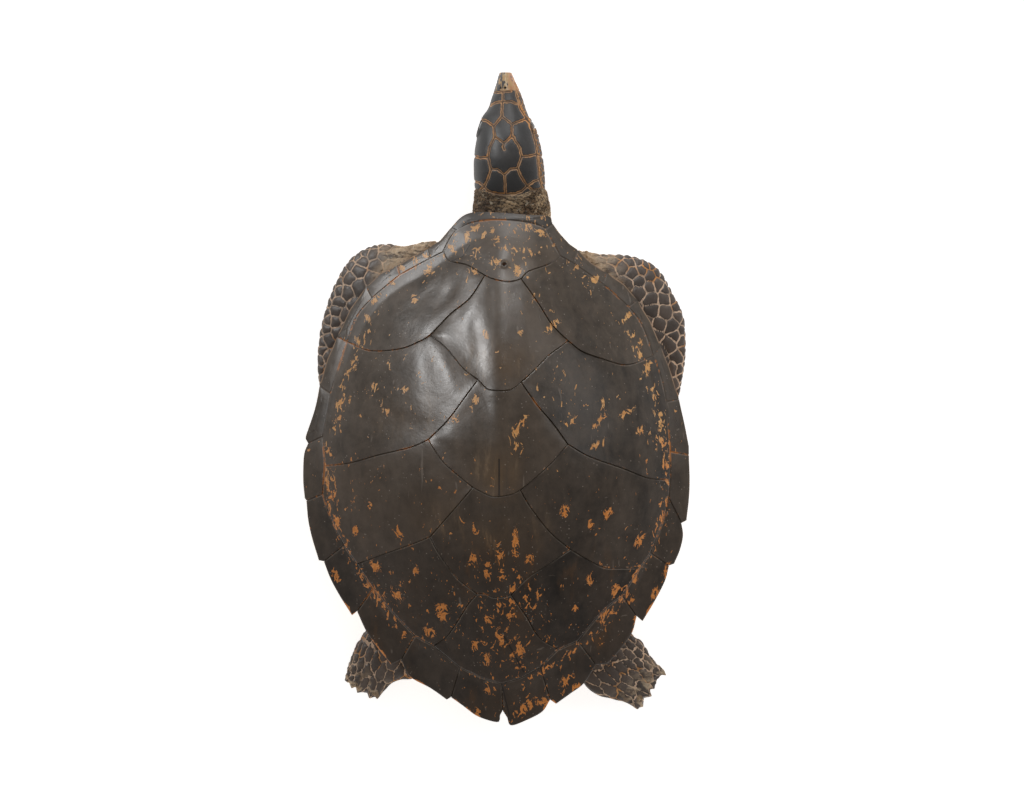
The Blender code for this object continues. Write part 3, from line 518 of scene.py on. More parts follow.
class Socket:
    """One output in a finish; arithmetic on it adds Math nodes."""

    def __init__(self, finish, output):
        self.finish, self.output = finish, output

    def math(self, operation, *values, clamp=False):
        inputs = dict(enumerate(values))
        return self.finish.node("ShaderNodeMath", {"operation": operation, "use_clamp": clamp}, inputs)

    def __add__(self, other):
        return self.math("ADD", self, other)

    def __sub__(self, other):
        return self.math("SUBTRACT", self, other)

    def __rsub__(self, other):
        return self.math("SUBTRACT", other, self)

    def __mul__(self, other):
        return self.math("MULTIPLY", self, other)

    def __truediv__(self, other):
        return self.math("DIVIDE", self, other)

    __radd__, __rmul__ = __add__, __mul__

    def size(self):
        return self.math("ABSOLUTE", self)

    def clamped(self):
        return self.math("ADD", self, 0.0, clamp=True)

    def highest(self, other):
        return self.math("MAXIMUM", self, other)

    def between(self, low, high):
        """0 at or below low, 1 at or above high, smooth in between."""
        settings = {"interpolation_type": "SMOOTHSTEP"}
        return self.finish.node("ShaderNodeMapRange", settings, {0: self, 1: low, 2: high, 3: 0.0, 4: 1.0})


class Finish:
    """A procedural material, built by naming what feeds each socket of its shader."""

    def __init__(self, name, **constants):
        self.material = bpy.data.materials.new(name)
        self.material.use_nodes = True
        self.tree = self.material.node_tree
        self.shader = self.tree.nodes["Principled BSDF"]
        for key, value in constants.items():
            self.shader.inputs[key.replace("_", " ")].default_value = value

    def node(self, kind, settings=None, inputs=None, output=0):
        made = self.tree.nodes.new(kind)
        for key, value in (settings or {}).items():
            setattr(made, key, value)
        for key, value in (inputs or {}).items():
            self.feed(made.inputs[key], value)
        return Socket(self, made.outputs[output])

    def feed(self, socket, value):
        if isinstance(value, Socket):
            self.tree.links.new(value.output, socket)
        elif socket.type == "RGBA":
            socket.default_value = (*value[:3], 1.0)
        else:
            socket.default_value = value

    def set(self, name, value):
        self.feed(self.shader.inputs[name], value)

    def attribute(self, name):
        return self.node("ShaderNodeAttribute", {"attribute_name": name}, output="Fac")

    def place(self, stretch=(1, 1, 1), turn=0.0):
        """Object coordinates, turned about the upright and stretched."""
        here = self.node("ShaderNodeTexCoord", output="Object")
        inputs = {"Vector": here, "Rotation": (0, 0, math.radians(turn)), "Scale": stretch}
        return self.node("ShaderNodeMapping", {"vector_type": "POINT"}, inputs)

    def along(self, axis):
        here = self.node("ShaderNodeTexCoord", output="Object")
        return self.node("ShaderNodeSeparateXYZ", inputs={0: here}, output=axis)

    def noise(self, scale, detail=3.0, rough=0.5, twist=0.0, **place):
        inputs = {"Scale": scale, "Detail": detail, "Roughness": rough, "Distortion": twist}
        return self.node("ShaderNodeTexNoise", inputs={"Vector": self.place(**place), **inputs})

    def cells(self, scale):
        inputs = {"Vector": self.place(), "Scale": scale}
        return self.node("ShaderNodeTexVoronoi", {"feature": "F1"}, inputs, "Distance")

    def mix(self, share, first, second):
        """Colours mixed by a share from 0 to 1."""
        settings = {"data_type": "RGBA", "blend_type": "MIX", "clamp_factor": True}
        return self.node("ShaderNodeMix", settings, {0: share, 6: first, 7: second}, 2)

    def vector(self, operation, inputs, output="Vector"):
        return self.node("ShaderNodeVectorMath", {"operation": operation}, inputs, output)

    def shade(self, colour, factor):
        """A colour made darker or lighter by a value."""
        return self.vector("SCALE", {0: colour, "Scale": factor})

    def bump(self, height, depth, strength):
        return self.node("ShaderNodeBump", inputs={"Strength": strength, "Distance": depth, "Height": height})

    def line(self, start, end, width):
        """1 on a line between two plan points in millimetres, fading to 0 over its half width."""
        flat = self.place(stretch=(1, 1, 0))
        from_start = self.vector("SUBTRACT", {0: flat, 1: (start[0] * MM, start[1] * MM, 0)})
        way = Vector((end[0] - start[0], end[1] - start[1], 0)) * MM
        dot = self.vector("DOT_PRODUCT", {0: from_start, 1: way}, "Value")
        share = (dot / way.length_squared).clamped()
        along = self.vector("SCALE", {0: way, "Scale": share})
        off = self.vector("SUBTRACT", {0: from_start, 1: along})
        away = self.vector("LENGTH", {0: off}, "Value")
        return 1 - away.between(LINE_CORE * width * MM, width * MM)


# ---------------------------------------------------------------- finishes


class Tint:
    """Fixed colours of the finishes, as linear red, green and blue."""

    pale_amber, amber_glint, amber_edge = (0.52, 0.265, 0.09), (0.66, 0.42, 0.19), (0.20, 0.085, 0.032)
    warm_horn, scratch = (0.056, 0.036, 0.022), (0.32, 0.26, 0.21)
    rear_patch, front_patch = (0.050, 0.027, 0.013), (0.150, 0.090, 0.044)
    rear_streak, front_streak = (0.13, 0.060, 0.020), (0.34, 0.235, 0.14)
    under_cream, under_brown = (0.42, 0.26, 0.10), (0.13, 0.068, 0.028)
    # The dark seam colour below also paints the shade along the listed creases
    pale_seam, scuffed_seam, dark_seam = (0.22, 0.18, 0.145), (0.34, 0.235, 0.175), (0.012, 0.007, 0.005)
    # The colour below is a pale tan highlight painted along the front rim
    front_rim = (0.40, 0.25, 0.15)
    belly_amber, belly_smudge, belly_seam = (0.45, 0.25, 0.08), (0.12, 0.06, 0.028), (0.07, 0.04, 0.02)
    # The plate border colour is painted shade where domed plates dip to their seams
    brown_plate, plate_border, plate_wear = (0.056, 0.040, 0.030), (0.016, 0.012, 0.010), (0.15, 0.11, 0.085)
    head_seam, seam_crack = (0.50, 0.27, 0.12), (0.05, 0.028, 0.015)
    # The hide pit colour is painted shade in the pits between fibres
    hide_brown, hide_pit, hide_spot = (0.36, 0.23, 0.125), (0.055, 0.034, 0.020), (0.64, 0.54, 0.42)
    beak_cream, beak_orange, beak_streak = (0.66, 0.50, 0.30), (0.48, 0.17, 0.045), (0.034, 0.036, 0.042)
    # The nostril colour is near-black painted shade inside the nostrils
    nostril = (0.006, 0.004, 0.004)
    # The skin crease colour is painted shade between the grains
    skin_brown, skin_crease, skin_flake = (0.15, 0.092, 0.048), (0.022, 0.015, 0.010), (0.66, 0.56, 0.42)
    iris_dark, iris_brown = (0.035, 0.018, 0.008), (0.10, 0.05, 0.018)
    pupil, eye_border = (0.004, 0.003, 0.003), (0.010, 0.008, 0.007)


# Stretches along the shell, in metres from back to front, over which a look changes
# The first span is where the horn turns paler and greyer towards the front: horn colour and painted light
GOLD_SPAN, BROWN_SPAN, PATCH_SPAN, WORN_SPAN = (-0.20, 0.16), (-0.20, 0.26), (-0.12, -0.04), (-0.24, -0.02)
# Where the highlight painted along the front rim fades in, and where it fades out
FRONT_RIM_START, FRONT_RIM_END = (0.07, 0.11), (0.245, 0.262)
# Grain that runs lengthwise, and long streaks
LENGTHWISE, STREAKED = (1.0, 0.5, 1.0), (1.0, 0.16, 1.0)


def horn_finish(look):
    """Polished dark horn: amber flecks, worn seams, browner see-through patches, fine scratches."""
    finish = Finish("shell_horn", IOR=1.42)
    clouds, fine = finish.noise(13.0, 5.0, 0.62, 0.4), finish.noise(75.0, 5.0, 0.65)
    ragged = finish.noise(260.0, 3.0, 0.6, 0.5)
    wear = finish.noise(26.0, 3.0, 0.6)
    base = horn_ground(finish, look, clouds, fine)
    amber = amber_mask(finish, ragged)
    base = finish.mix(amber.between(0.0, 0.4) * 0.9, base, Tint.amber_edge)
    base = finish.mix(amber.between(0.35, 0.8), base, gold_colour(finish, look))
    base, dark_seam = horn_seams(finish, look, base, wear, ragged)
    marks = horn_marks(finish)
    base = finish.mix(marks, base, Tint.scratch)
    cream = finish.mix(clouds.between(0.42, 0.62), Tint.under_cream, Tint.under_brown)
    finish.set("Base Color", finish.mix(finish.attribute("under"), base, cream))
    rough = look.polish - 0.10 + clouds * 0.14 + fine * 0.16 + amber * 0.08 + marks * 0.2
    finish.set("Roughness", (rough + finish.attribute("quiet") * 0.05).clamped())
    dents = finish.noise(34.0, 4.0, 0.62, 0.3)
    relief = dents * 2.2 + fine * 0.42 + ragged * 0.08 - marks * 0.2 - amber * 0.16 - dark_seam * 0.3
    finish.set("Normal", finish.bump(relief, 0.0005, 0.5))
    return finish.material


def gold_colour(finish, look):
    """Amber horn: paler and with more glints in front."""
    front = finish.along("Y").between(*GOLD_SPAN)
    pale = (finish.noise(45.0, 2.0) * 0.5 + front * 0.5).between(0.40, 0.75)
    glints = finish.noise(330.0, 3.0).between(0.52, 0.64) * (0.15 + front * 0.35)
    gold = finish.mix(glints, finish.mix(pale, look.amber, Tint.pale_amber), Tint.amber_glint)
    return finish.shade(gold, 0.60 + finish.noise(230.0, 3.0, 0.65) * 1.5)


def horn_ground(finish, look, clouds, fine):
    """The dark horn itself: paler and greyer in front, partly the horn's colour and partly painted light from
    the front; mottled, browner and streaked where light comes through it.
    """
    # Paler, greyer ground in front: horn colour and painted light from the front
    ground = finish.mix(finish.along("Y").between(*BROWN_SPAN), look.rear_brown, look.front_brown)
    hue = finish.noise(21.0, 4.0, 0.6, stretch=(1.0, 0.6, 1.0)).between(0.40, 0.62)
    ground = finish.mix(hue * 0.6, ground, finish.mix(0.5, ground, Tint.warm_horn))
    blotches = finish.noise(55.0, 4.0, 0.6, 0.6, stretch=LENGTHWISE)
    light = clouds * 1.2 + fine * 0.9 + blotches * 1.3 - 0.66 + finish.attribute("tone") * 0.45
    ground = finish.shade(ground, light)
    streaks = finish.noise(42.0, 5.0, 0.65, 0.3, stretch=STREAKED)
    patch = (finish.attribute("brown") * (streaks * 2.6 + clouds * 0.9 - 1.05)).clamped()
    front = finish.along("Y").between(*PATCH_SPAN)
    ground = finish.mix(patch * 0.9, ground, finish.mix(front, Tint.rear_patch, Tint.front_patch))
    streaked = finish.mix(front, Tint.rear_streak, Tint.front_streak)
    return finish.mix((patch * streaks.between(0.54, 0.66)) * 0.75, ground, streaked)


def amber_mask(finish, ragged):
    """Jagged flecks where they are listed, small ones strewn about, and chips of amber along the edge."""
    veins = finish.noise(80.0, 3.0, 0.6, 1.3, stretch=(1.0, 0.55, 1.0))
    ridge = (1 - (veins - 0.5).size() * 9).clamped()
    amber = (finish.attribute("fleck") * 0.58 + ridge * 0.46 + ragged * 0.52).between(0.86, 0.93)
    grains = finish.noise(170.0, 3.0, 0.6, 0.9, stretch=LENGTHWISE)
    groups = finish.noise(11.0, 1.0).between(0.42, 0.72)
    band = finish.attribute("band")
    strewn = grains + band * 0.140 + band * finish.attribute("quiet") * 0.02 + groups * 0.050
    amber = amber.highest(strewn.between(0.722, 0.738))
    backward = 1 - finish.along("Y").between(*WORN_SPAN)
    rim = finish.attribute("rim") * (0.30 + backward * 0.80)
    chips = finish.noise(27.0, 2.0, 0.5, 0.4)
    worn = rim * 1.1 + grains * 0.8 + chips * 3.0 - finish.attribute("edge") * 0.035
    return amber.highest(worn.between(3.16, 3.24))


def horn_seams(finish, look, base, wear, ragged):
    """Dark seams with a pale edge behind them, painted shade along creases, amber where they are worn
    through, and a highlight painted along the front rim.
    """
    edge, inside = finish.attribute("edge"), 1 - finish.attribute("rim")
    worn, loud = finish.attribute("worn"), 1 - finish.attribute("quiet")
    behind = (1 - finish.attribute("rear")).between(0.3, 0.8) * inside
    pale = (1 - (edge - 1.0).size().between(0.25, 1.1)) * behind * wear.between(0.36, 0.58)
    base = finish.mix(pale * 0.6, base, Tint.pale_seam)
    scuffs = (1 - edge.between(1.0, 3.2)) * inside * ragged.between(0.60, 0.64) * wear.between(0.46, 0.60)
    base = finish.mix(scuffs * 0.75, base, Tint.scuffed_seam)
    share = (wear * 0.5 + ragged * 0.5 + worn * 0.12).between(0.57, 0.62)
    base = finish.mix((1 - edge.between(0.5, 1.7)) * inside * share * 0.85, base, look.amber)
    strength = (1 - worn * 0.5) * loud * (0.25 + wear.between(0.3, 0.7) * 0.5)
    dark_seam = (1 - edge.between(0.12, 0.62)) * inside * strength
    # Painted shade along the listed creases and cracks, in the dark seam colour
    for start, end, width in CREASES:
        dark_seam = dark_seam.highest(finish.line(start, end, width) * 0.8)
    base = finish.mix(dark_seam, base, Tint.dark_seam)
    y = finish.along("Y")
    # A pale line painted along the front rim's edge as its highlight
    front_rim = finish.attribute("rim").between(0.86, 0.94) * y.between(*FRONT_RIM_START)
    front_rim = front_rim * (1 - y.between(*FRONT_RIM_END)) * (0.25 + wear.between(0.3, 0.6) * 0.6)
    return finish.mix(front_rim, base, Tint.front_rim), dark_seam


def horn_marks(finish):
    """Whitish specks and fine scratches."""
    specks = 1 - finish.cells(210.0).between(0.07, 0.20)
    some = (finish.noise(60.0, 2.0) + finish.attribute("band") * 0.05).between(0.56, 0.60)
    scratches = finish.noise(150.0, 2.0, 0.5, stretch=(1.0, 0.07, 1.0), turn=14.0).between(0.71, 0.76)
    crossed = finish.noise(170.0, 2.0, 0.5, stretch=(0.08, 1.0, 1.0), turn=-31.0).between(0.735, 0.77)
    return (specks * some * 0.75).highest(scratches * 0.30).highest(crossed * 0.28)


def belly_finish(look):
    """Cream horn with brown smudges towards the seams and fine growth lines."""
    finish = Finish("belly_horn", IOR=1.5)
    edge = finish.attribute("edge")
    clouds = finish.noise(14.0, 5.0, 0.6)
    fine = finish.noise(120.0, 4.0, 0.6)
    base = finish.shade(look.belly_cream, 0.78 + clouds * 0.3 + fine * 0.15)
    amber = finish.noise(9.0, 3.0, stretch=LENGTHWISE).between(0.5, 0.68)
    base = finish.mix(amber * 0.55, base, Tint.belly_amber)
    smudges = (1 - edge.between(1.0, 22.0)) * clouds.between(0.44, 0.62)
    smudges = (smudges + finish.noise(20.0, 4.0).between(0.66, 0.72)).clamped()
    base = finish.mix(smudges * 0.6, base, Tint.belly_smudge)
    base = finish.mix((1 - edge.between(0.3, 1.6)) * 0.8, base, Tint.belly_seam)
    finish.set("Base Color", base)
    finish.set("Roughness", 0.34 + clouds * 0.2 + fine * 0.1)
    growth = edge * 1.1 + clouds * 6.0
    finish.set("Normal", finish.bump(growth.math("SINE", growth) * 0.2 + fine * 0.4, 0.0005, 0.6))
    return finish.material


def scale_finish(name, look, plates, seam, line, dark_centre, variety=0.6, horn=False):
    """Dark plates with seams of a half width in millimetres; skin and beak where their attributes say so."""
    finish = Finish(name, IOR=1.45)
    gap, tone, skin = (finish.attribute(word) for word in ("gap", "tone", "skin"))
    clouds = finish.noise(45.0, 4.0, 0.6)
    fine = finish.noise(420.0, 4.0, 0.65)
    off = gap + (finish.noise(240.0, 3.0, 0.6) - 0.5) * line * 1.3
    dark = finish.mix(tone * 0.5, plates, Tint.brown_plate)
    dark = finish.shade(dark, 0.38 + clouds * 0.6 + fine * 0.45 + tone * variety)
    dark = plate_edges(finish, dark, off, line, fine)
    tan = finish.mix(finish.noise(33.0, 2.0).between(0.52, 0.64), seam, look.seam_orange)
    tan = finish.shade(tan, 0.45 + fine * 1.35)
    cracks = (1 - gap.between(0.35, 0.8)) * dark_centre * clouds.between(0.30, 0.45)
    tan = finish.mix(cracks, tan, Tint.seam_crack)
    lit = (1 - off.between(line * 0.75, line * 1.15))
    lit = lit * (0.55 + finish.noise(95.0, 2.0).between(0.4, 0.6) * 0.45)
    base = finish.mix(lit, dark, tan)
    base = finish.mix(skin, base, hide_colour(finish, look, clouds))
    rough = 0.40 + fine * 0.18 + lit * 0.24 + skin * 0.22
    if horn:
        beak = finish.attribute("horn")
        base = finish.mix(beak, base, beak_colour(finish, look))
        rough = rough - beak * 0.1
    finish.set("Base Color", base)
    finish.set("Roughness", rough.clamped())
    relief = fine * 0.6 + clouds * 0.4 + skin * finish.cells(800.0) * 1.2
    finish.set("Normal", finish.bump(relief, 0.0006, 0.7))
    return finish.material


def plate_edges(finish, dark, off, line, fine):
    """Plates darkened towards their seams by painted shade where the domed plates dip, with a paler worn line
    inside that border.
    """
    # Painted shade where the domed plates dip to their seams
    dark = finish.mix((1 - off.between(line * 1.1, line * 1.1 + 0.9)) * 0.5, dark, Tint.plate_border)
    worn_edge = off.between(line + 0.8, line + 1.4) * (1 - off.between(line + 1.4, line + 2.4))
    return finish.mix(worn_edge * fine.between(0.42, 0.6) * 0.35, dark, Tint.plate_wear)


def hide_colour(finish, look, clouds):
    """Dry light skin in fine fibres, with painted shade in the pits between them, and pale spots."""
    fibres = finish.noise(150.0, 4.0, 0.7, 0.8, stretch=(0.35, 1.0, 1.0), turn=-20.0)
    hide = finish.mix(clouds.between(0.42, 0.66), look.hide_tan, Tint.hide_brown)
    # Painted shade in the pits between the fibres
    hide = finish.mix((1 - fibres.between(0.38, 0.50)) * 0.8, hide, Tint.hide_pit)
    return finish.mix(finish.noise(260.0, 3.0, 0.7).between(0.60, 0.67) * 0.8, hide, Tint.hide_spot)


def beak_colour(finish, look):
    """Cream horn with dark streaks on its left and orange ones on its right, and near-black painted shade in
    the nostrils.
    """
    lines = finish.noise(330.0, 3.0, 0.6, 0.3, stretch=(1.0, 0.16, 0.35))
    x = finish.along("X")
    tips = finish.mix(lines.between(0.42, 0.58), look.beak_horn, Tint.beak_cream)
    tips = finish.mix(x.between(0.006, 0.011) * lines.between(0.40, 0.55) * 0.85, tips, Tint.beak_orange)
    left = (1 - x.between(0.001, 0.0065)) * 0.16
    tips = finish.mix((lines + left).between(0.60, 0.66) * 0.95, tips, Tint.beak_streak)
    # Near-black painted shade inside the nostrils
    return finish.mix(finish.attribute("nostril").between(0.35, 0.6), tips, Tint.nostril)


def skin_finish(look):
    """Dry granular skin of the neck and tail: tan grains and whitish flakes, with painted shade in the
    creases between the grains.
    """
    finish = Finish("dry_skin", IOR=1.4)
    gap, tone = finish.attribute("gap"), finish.attribute("tone")
    clouds = finish.noise(38.0, 4.0, 0.6)
    fine = finish.noise(380.0, 4.0, 0.7)
    flakes = finish.noise(240.0, 4.0, 0.7, 0.5, stretch=(0.5, 1.0, 1.0))
    base = finish.mix(clouds.between(0.36, 0.60), look.skin_tan, Tint.skin_brown)
    base = finish.shade(base, 0.25 + tone * 0.85 + fine * 0.6)
    # Painted shade in the creases between the grains
    base = finish.mix((1 - gap.between(0.15, 0.70)) * 0.9, base, Tint.skin_crease)
    base = finish.mix(flakes.between(0.58, 0.65) * 0.85, base, Tint.skin_flake)
    finish.set("Base Color", base)
    finish.set("Roughness", 0.72 + clouds * 0.2)
    finish.set("Normal", finish.bump(fine + flakes * 0.8, 0.0010, 0.8))
    return finish.material


def eye_finish():
    """Dark glass with a brown iris round a black pupil."""
    finish = Finish("glass_eye", IOR=1.5, Roughness=0.04, Coat_Weight=0.6, Coat_Roughness=0.02)
    turned_away = finish.attribute("pupil")
    iris = finish.mix(finish.noise(900.0, 2.0).between(0.4, 0.6), Tint.iris_dark, Tint.iris_brown)
    base = finish.mix(turned_away.between(0.55, 0.60), Tint.pupil, iris)
    finish.set("Base Color", finish.mix(turned_away.between(0.92, 1.0), base, Tint.eye_border))
    return finish.material


# ---------------------------------------------------------------- plan of the shell


def smoothstep(value, low, high):
    share = np.clip((value - low) / (high - low), 0, 1)
    return share * share * (3 - 2 * share)


def smooth_path(points, step):
    """A Catmull-Rom curve through the points, as points about a step apart, both ends kept."""
    fine = eased(points, np.linspace(0, 1, PATH_STEPS * (len(points) - 1) + 1))
    lengths = np.concatenate([[0.0], np.cumsum(np.hypot(*np.diff(fine, axis=0).T))])
    wanted = np.linspace(0, lengths[-1], max(1, round(lengths[-1] / step)) + 1)
    return [Vector(p) for p in zip(*(np.interp(wanted, lengths, column) for column in fine.T))]


def eased(table, shares):
    """The rows of a table at shares of its length, eased from each row to the next."""
    rows = np.array([tuple(row) for row in table], float)
    rows = np.vstack([2 * rows[0] - rows[1], rows, 2 * rows[-1] - rows[-2]])
    place = np.clip(np.asarray(shares, float), 0, 1) * (len(table) - 1)
    index = np.minimum(place.astype(int), len(table) - 2)
    t = (place - index)[:, None]
    a, b, c, d = (rows[index + k] for k in range(4))
    return 0.5 * (2 * b + (c - a) * t + (2 * a - 5 * b + 4 * c - d) * t**2 + (3 * b - 3 * c + d - a) * t**3)


def meeting(name, side):
    if name.startswith("rim") and name != "rim12":
        return Vector(RIM[side][int(name[3:])][0])
    return Vector(MEETINGS[name][side])


def seam(start, end, side):
    """Points from one meeting to the next on one side, both ends kept."""
    if (end, start) in BENDS:
        return seam(end, start, side)[::-1]
    bends = BENDS.get((start, end), ((), ()))[side]
    return smooth_path([meeting(start, side), *map(Vector, bends), meeting(end, side)], SEAM_STEP)


def crossing(name):
    return smooth_path([meeting(name, LEFT), *map(Vector, CROSSINGS[name]), meeting(name, RIGHT)], SEAM_STEP)


def rim_path(index, side):
    """The outer edge of one marginal scute, from its front corner past its rear point to the next scute."""
    path = smooth_path(RIM[side][index], SEAM_STEP)
    return path + smooth_path([path[-1], meeting(f"rim{index + 1}", side)], SEAM_STEP)[1:]


def front_path():
    return smooth_path([meeting("rim0", RIGHT), *map(Vector, FRONT_EDGE), meeting("rim0", LEFT)], SEAM_STEP)


def short_seam(start, end, side):
    return smooth_path([meeting(start, side), meeting(end, side)], SEAM_STEP)


def joined(*paths):
    """Paths that follow each other, as one ring of points without repeats."""
    ring = []
    for path in paths:
        ring += [p for p in path if not ring or (p - ring[-1]).length > SAME_SPOT]
    return ring[:-1] if (ring[0] - ring[-1]).length < SAME_SPOT else ring


def chain(names, side):
    return [seam(a, b, side) for a, b in zip(names, names[1:])]


def vertebral_ring(names):
    """A vertebral scute's outline, counter-clockwise: its front seam, down its left, back up its right."""
    first, last = names[0], names[-1]
    up = [path[::-1] for path in chain(names, RIGHT)][::-1]
    bottom = [crossing(last)] if last in CROSSINGS else []
    return joined(crossing(first)[::-1], *chain(names, LEFT), *bottom, *up)


def turned(ring, side):
    return ring if side == RIGHT else ring[::-1]


def marginal_ring(index, side):
    line = INNER_LINE[INNER_LINE.index(f"inner{index}") : INNER_LINE.index(f"inner{index + 1}") + 1]
    inward = short_seam(f"rim{index}", line[0], side)
    outward = short_seam(line[-1], f"rim{index + 1}", side)
    return turned(joined(inward, *chain(line, side), outward, rim_path(index, side)[::-1]), side)


def scute_rings():
    """Name and outline of every scute of the carapace, all counter-clockwise."""
    left_edge, right_edge = short_seam("rim0", "inner0", LEFT), short_seam("inner0", "rim0", RIGHT)
    rings = {"nuchal": joined(front_path(), left_edge, crossing("inner0"), right_edge)}
    rings |= {name: vertebral_ring(names.split()) for name, names in VERTEBRALS.items()}
    for side, letter in zip(SIDES, "lr"):
        for name, words in COSTALS.items():
            names = words.split()
            rings[f"{name}_{letter}"] = turned(joined(*chain([*names, names[0]], side)), side)
        rings |= {f"marginal_{i + 1}_{letter}": marginal_ring(i, side) for i in range(MARGINALS)}
    return rings


def rim_points():
    """The carapace's outer edge, all the way round."""
    edge = front_path()
    for index in range(MARGINALS):
        edge += rim_path(index, LEFT)
    for index in reversed(range(MARGINALS)):
        edge += rim_path(index, RIGHT)[::-1]
    return edge


def outline_radius():
    """The carapace's smoothed outline as radii from the dome's middle, one for each of OUTLINE_ANGLES."""
    away = np.array([(p[0] - CENTRE[0], p[1] - CENTRE[1]) for p in rim_points()])
    angles, radii = np.arctan2(away[:, 1], away[:, 0]), np.hypot(away[:, 0], away[:, 1])
    order = np.argsort(angles)
    wanted = np.linspace(-math.pi, math.pi, OUTLINE_ANGLES, endpoint=False)
    even = np.interp(wanted, angles[order], radii[order], period=2 * math.pi)
    kernel = np.hanning(OUTLINE_SOFTENING) / np.hanning(OUTLINE_SOFTENING).sum()
    half = OUTLINE_SOFTENING // 2
    return np.convolve(np.concatenate([even[-half:], even, even[:half]]), kernel, "valid")


RADII = outline_radius()


def polar(x, y):
    """Shares of the outline's radius, angles and those radii, for plan points."""
    dx, dy = x - CENTRE[0], y - CENTRE[1]
    angle = np.arctan2(dy, dx)
    place = (angle + math.pi) / (2 * math.pi) * OUTLINE_ANGLES
    radius = np.interp(place, np.arange(OUTLINE_ANGLES + 1), np.append(RADII, RADII[0]))
    return np.hypot(dx, dy) / radius, angle, radius


def rim_height(angle):
    forward = np.sin(angle)
    return RIM_SIDE + np.where(forward > 0, RIM_FRONT_RISE, RIM_REAR_RISE) * np.abs(forward) ** RIM_SHARPNESS


def dome_height(x, y):
    """Height of the carapace before the scutes' relief."""
    share, angle, _ = polar(x, y)
    inside = COSTAL_DROP * (share / COSTAL_SHARE) ** 2
    outside = COSTAL_DROP + (1 - COSTAL_DROP) * (share - COSTAL_SHARE) / (1 - COSTAL_SHARE)
    drop = np.where(share < COSTAL_SHARE, inside, outside)
    keel = KEEL_RISE * np.exp(-((x / KEEL_WIDTH) ** 2)) * np.maximum(0.0, 1 - share**2)
    nose = NOSE_RISE * np.exp(-((x / NOSE_WIDTH) ** 2) - ((y - NOSE_Y) / NOSE_LENGTH) ** 2)
    return DOME_TOP - (DOME_TOP - rim_height(angle)) * drop + keel + nose


def under_height(x, y, thickness=UNDERSIDE_GAP):
    """Height of the carapace's underside: flat over the belly plate, then out to the edge."""
    share, angle, _ = polar(x, y)
    out = np.clip((share - BRIDGE_SHARE) / (1 - BRIDGE_SHARE), 0, 1)
    return BELLY_DEPTH + (rim_height(angle) - thickness - BELLY_DEPTH) * out


def waves(points, length, seed):
    """Smooth noise from -1 to 1 at points, the given distance from wave to wave."""
    spots = ((p[0] / length, p[1] / length, p[2] / length + seed) for p in points)
    return np.array([noise.noise(Vector(spot)) for spot in spots])


def on_plan(points, length, seed):
    return waves(np.column_stack((points, np.zeros(len(points)))), length, seed)


def softened(values, reach=2):
    """Values round a ring, each averaged with its neighbours."""
    return sum(np.roll(values, k, 0) for k in range(-reach, reach + 1)) / (2 * reach + 1)


# ---------------------------------------------------------------- making meshes


def finished(name, bm, surface, node, sharp=None):
    """Turns a bmesh into a smooth piece that stands for a CAD node and rides on the body."""
    mesh = bpy.data.meshes.new(name)
    bm.to_mesh(mesh)
    bm.free()
    mesh.materials.append(surface)
    mesh.shade_smooth()
    if sharp:
        mesh.set_sharp_from_angle(angle=math.radians(sharp))
    piece = bpy.data.objects.new(name, mesh)
    bpy.context.scene.collection.objects.link(piece)
    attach(piece, BODY)
    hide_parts(node)


def write_layers(bm, values):
    """Stores named values, one for each vertex, for the finishes to read."""
    for name, numbers in values.items():
        layer = bm.verts.layers.float.new(name)
        for vertex, number in zip(bm.verts, numbers):
            vertex[layer] = float(number)


def sheet(columns, rows):
    """A flat grid and its vertices' shares across (0 to 1) and along (0 to 1)."""
    bm = bmesh.new()
    bmesh.ops.create_grid(bm, x_segments=columns, y_segments=rows, size=0.5)
    flat = np.array([vertex.co[:2] for vertex in bm.verts]) + 0.5
    return bm, flat[:, 0], flat[:, 1]


def close_tube(bm):
    """Joins a tube's first and last columns and its pinched ends, and turns its faces outwards."""
    bmesh.ops.remove_doubles(bm, verts=bm.verts, dist=MERGE_DISTANCE)
    holes = [edge for edge in bm.edges if edge.is_boundary]
    if holes:
        bmesh.ops.holes_fill(bm, edges=holes, sides=0)
    bmesh.ops.recalc_face_normals(bm, faces=bm.faces)


def tube_piece(name, bm, points, layers, surface, node):
    """A piece whose sheet of vertices goes to points in millimetres and is closed to a tube."""
    for vertex, point in zip(bm.verts, points):
        vertex.co = Vector(point) * MM
    write_layers(bm, layers)
    close_tube(bm)
    finished(name, bm, surface, node)


def superellipse(share, power):
    """Cosine and sine round a ring, fuller than a circle's for a power over 2."""
    angle = 2 * math.pi * share
    c, s = np.cos(angle), np.sin(angle)
    return np.sign(c) * np.abs(c) ** (2 / power), np.sign(s) * np.abs(s) ** (2 / power)


def pinch(share, first, last=None):
    """1 along a tube and rounded down to 0 at both ends, over the given shares of its length."""
    start = 1 - np.clip(share / first, 0, 1)
    end = 1 - np.clip((1 - share) / (last or first), 0, 1)
    return np.sqrt(np.clip(1 - np.maximum(start, end) ** 2, 0, 1))


def line_distance(points, lines, blend=0.0):
    """Distance from each plan point to the nearest of the lines; a blend rounds the corners between lines."""
    nearest, total = np.full(len(points), np.inf), np.zeros(len(points))
    for path in lines:
        for start, end in zip(path, path[1:]):
            a, b = np.array(start, float), np.array(end, float)
            share = np.clip((points - a) @ (b - a) / ((b - a) @ (b - a)), 0, 1)
            away = np.linalg.norm(points - a - share[:, None] * (b - a), axis=1)
            nearest = np.minimum(nearest, away)
            if blend:
                total += np.exp(-np.minimum(away, BLEND_REACH * blend) / blend)
    return np.clip(-blend * np.log(total), 0, nearest) if blend else nearest


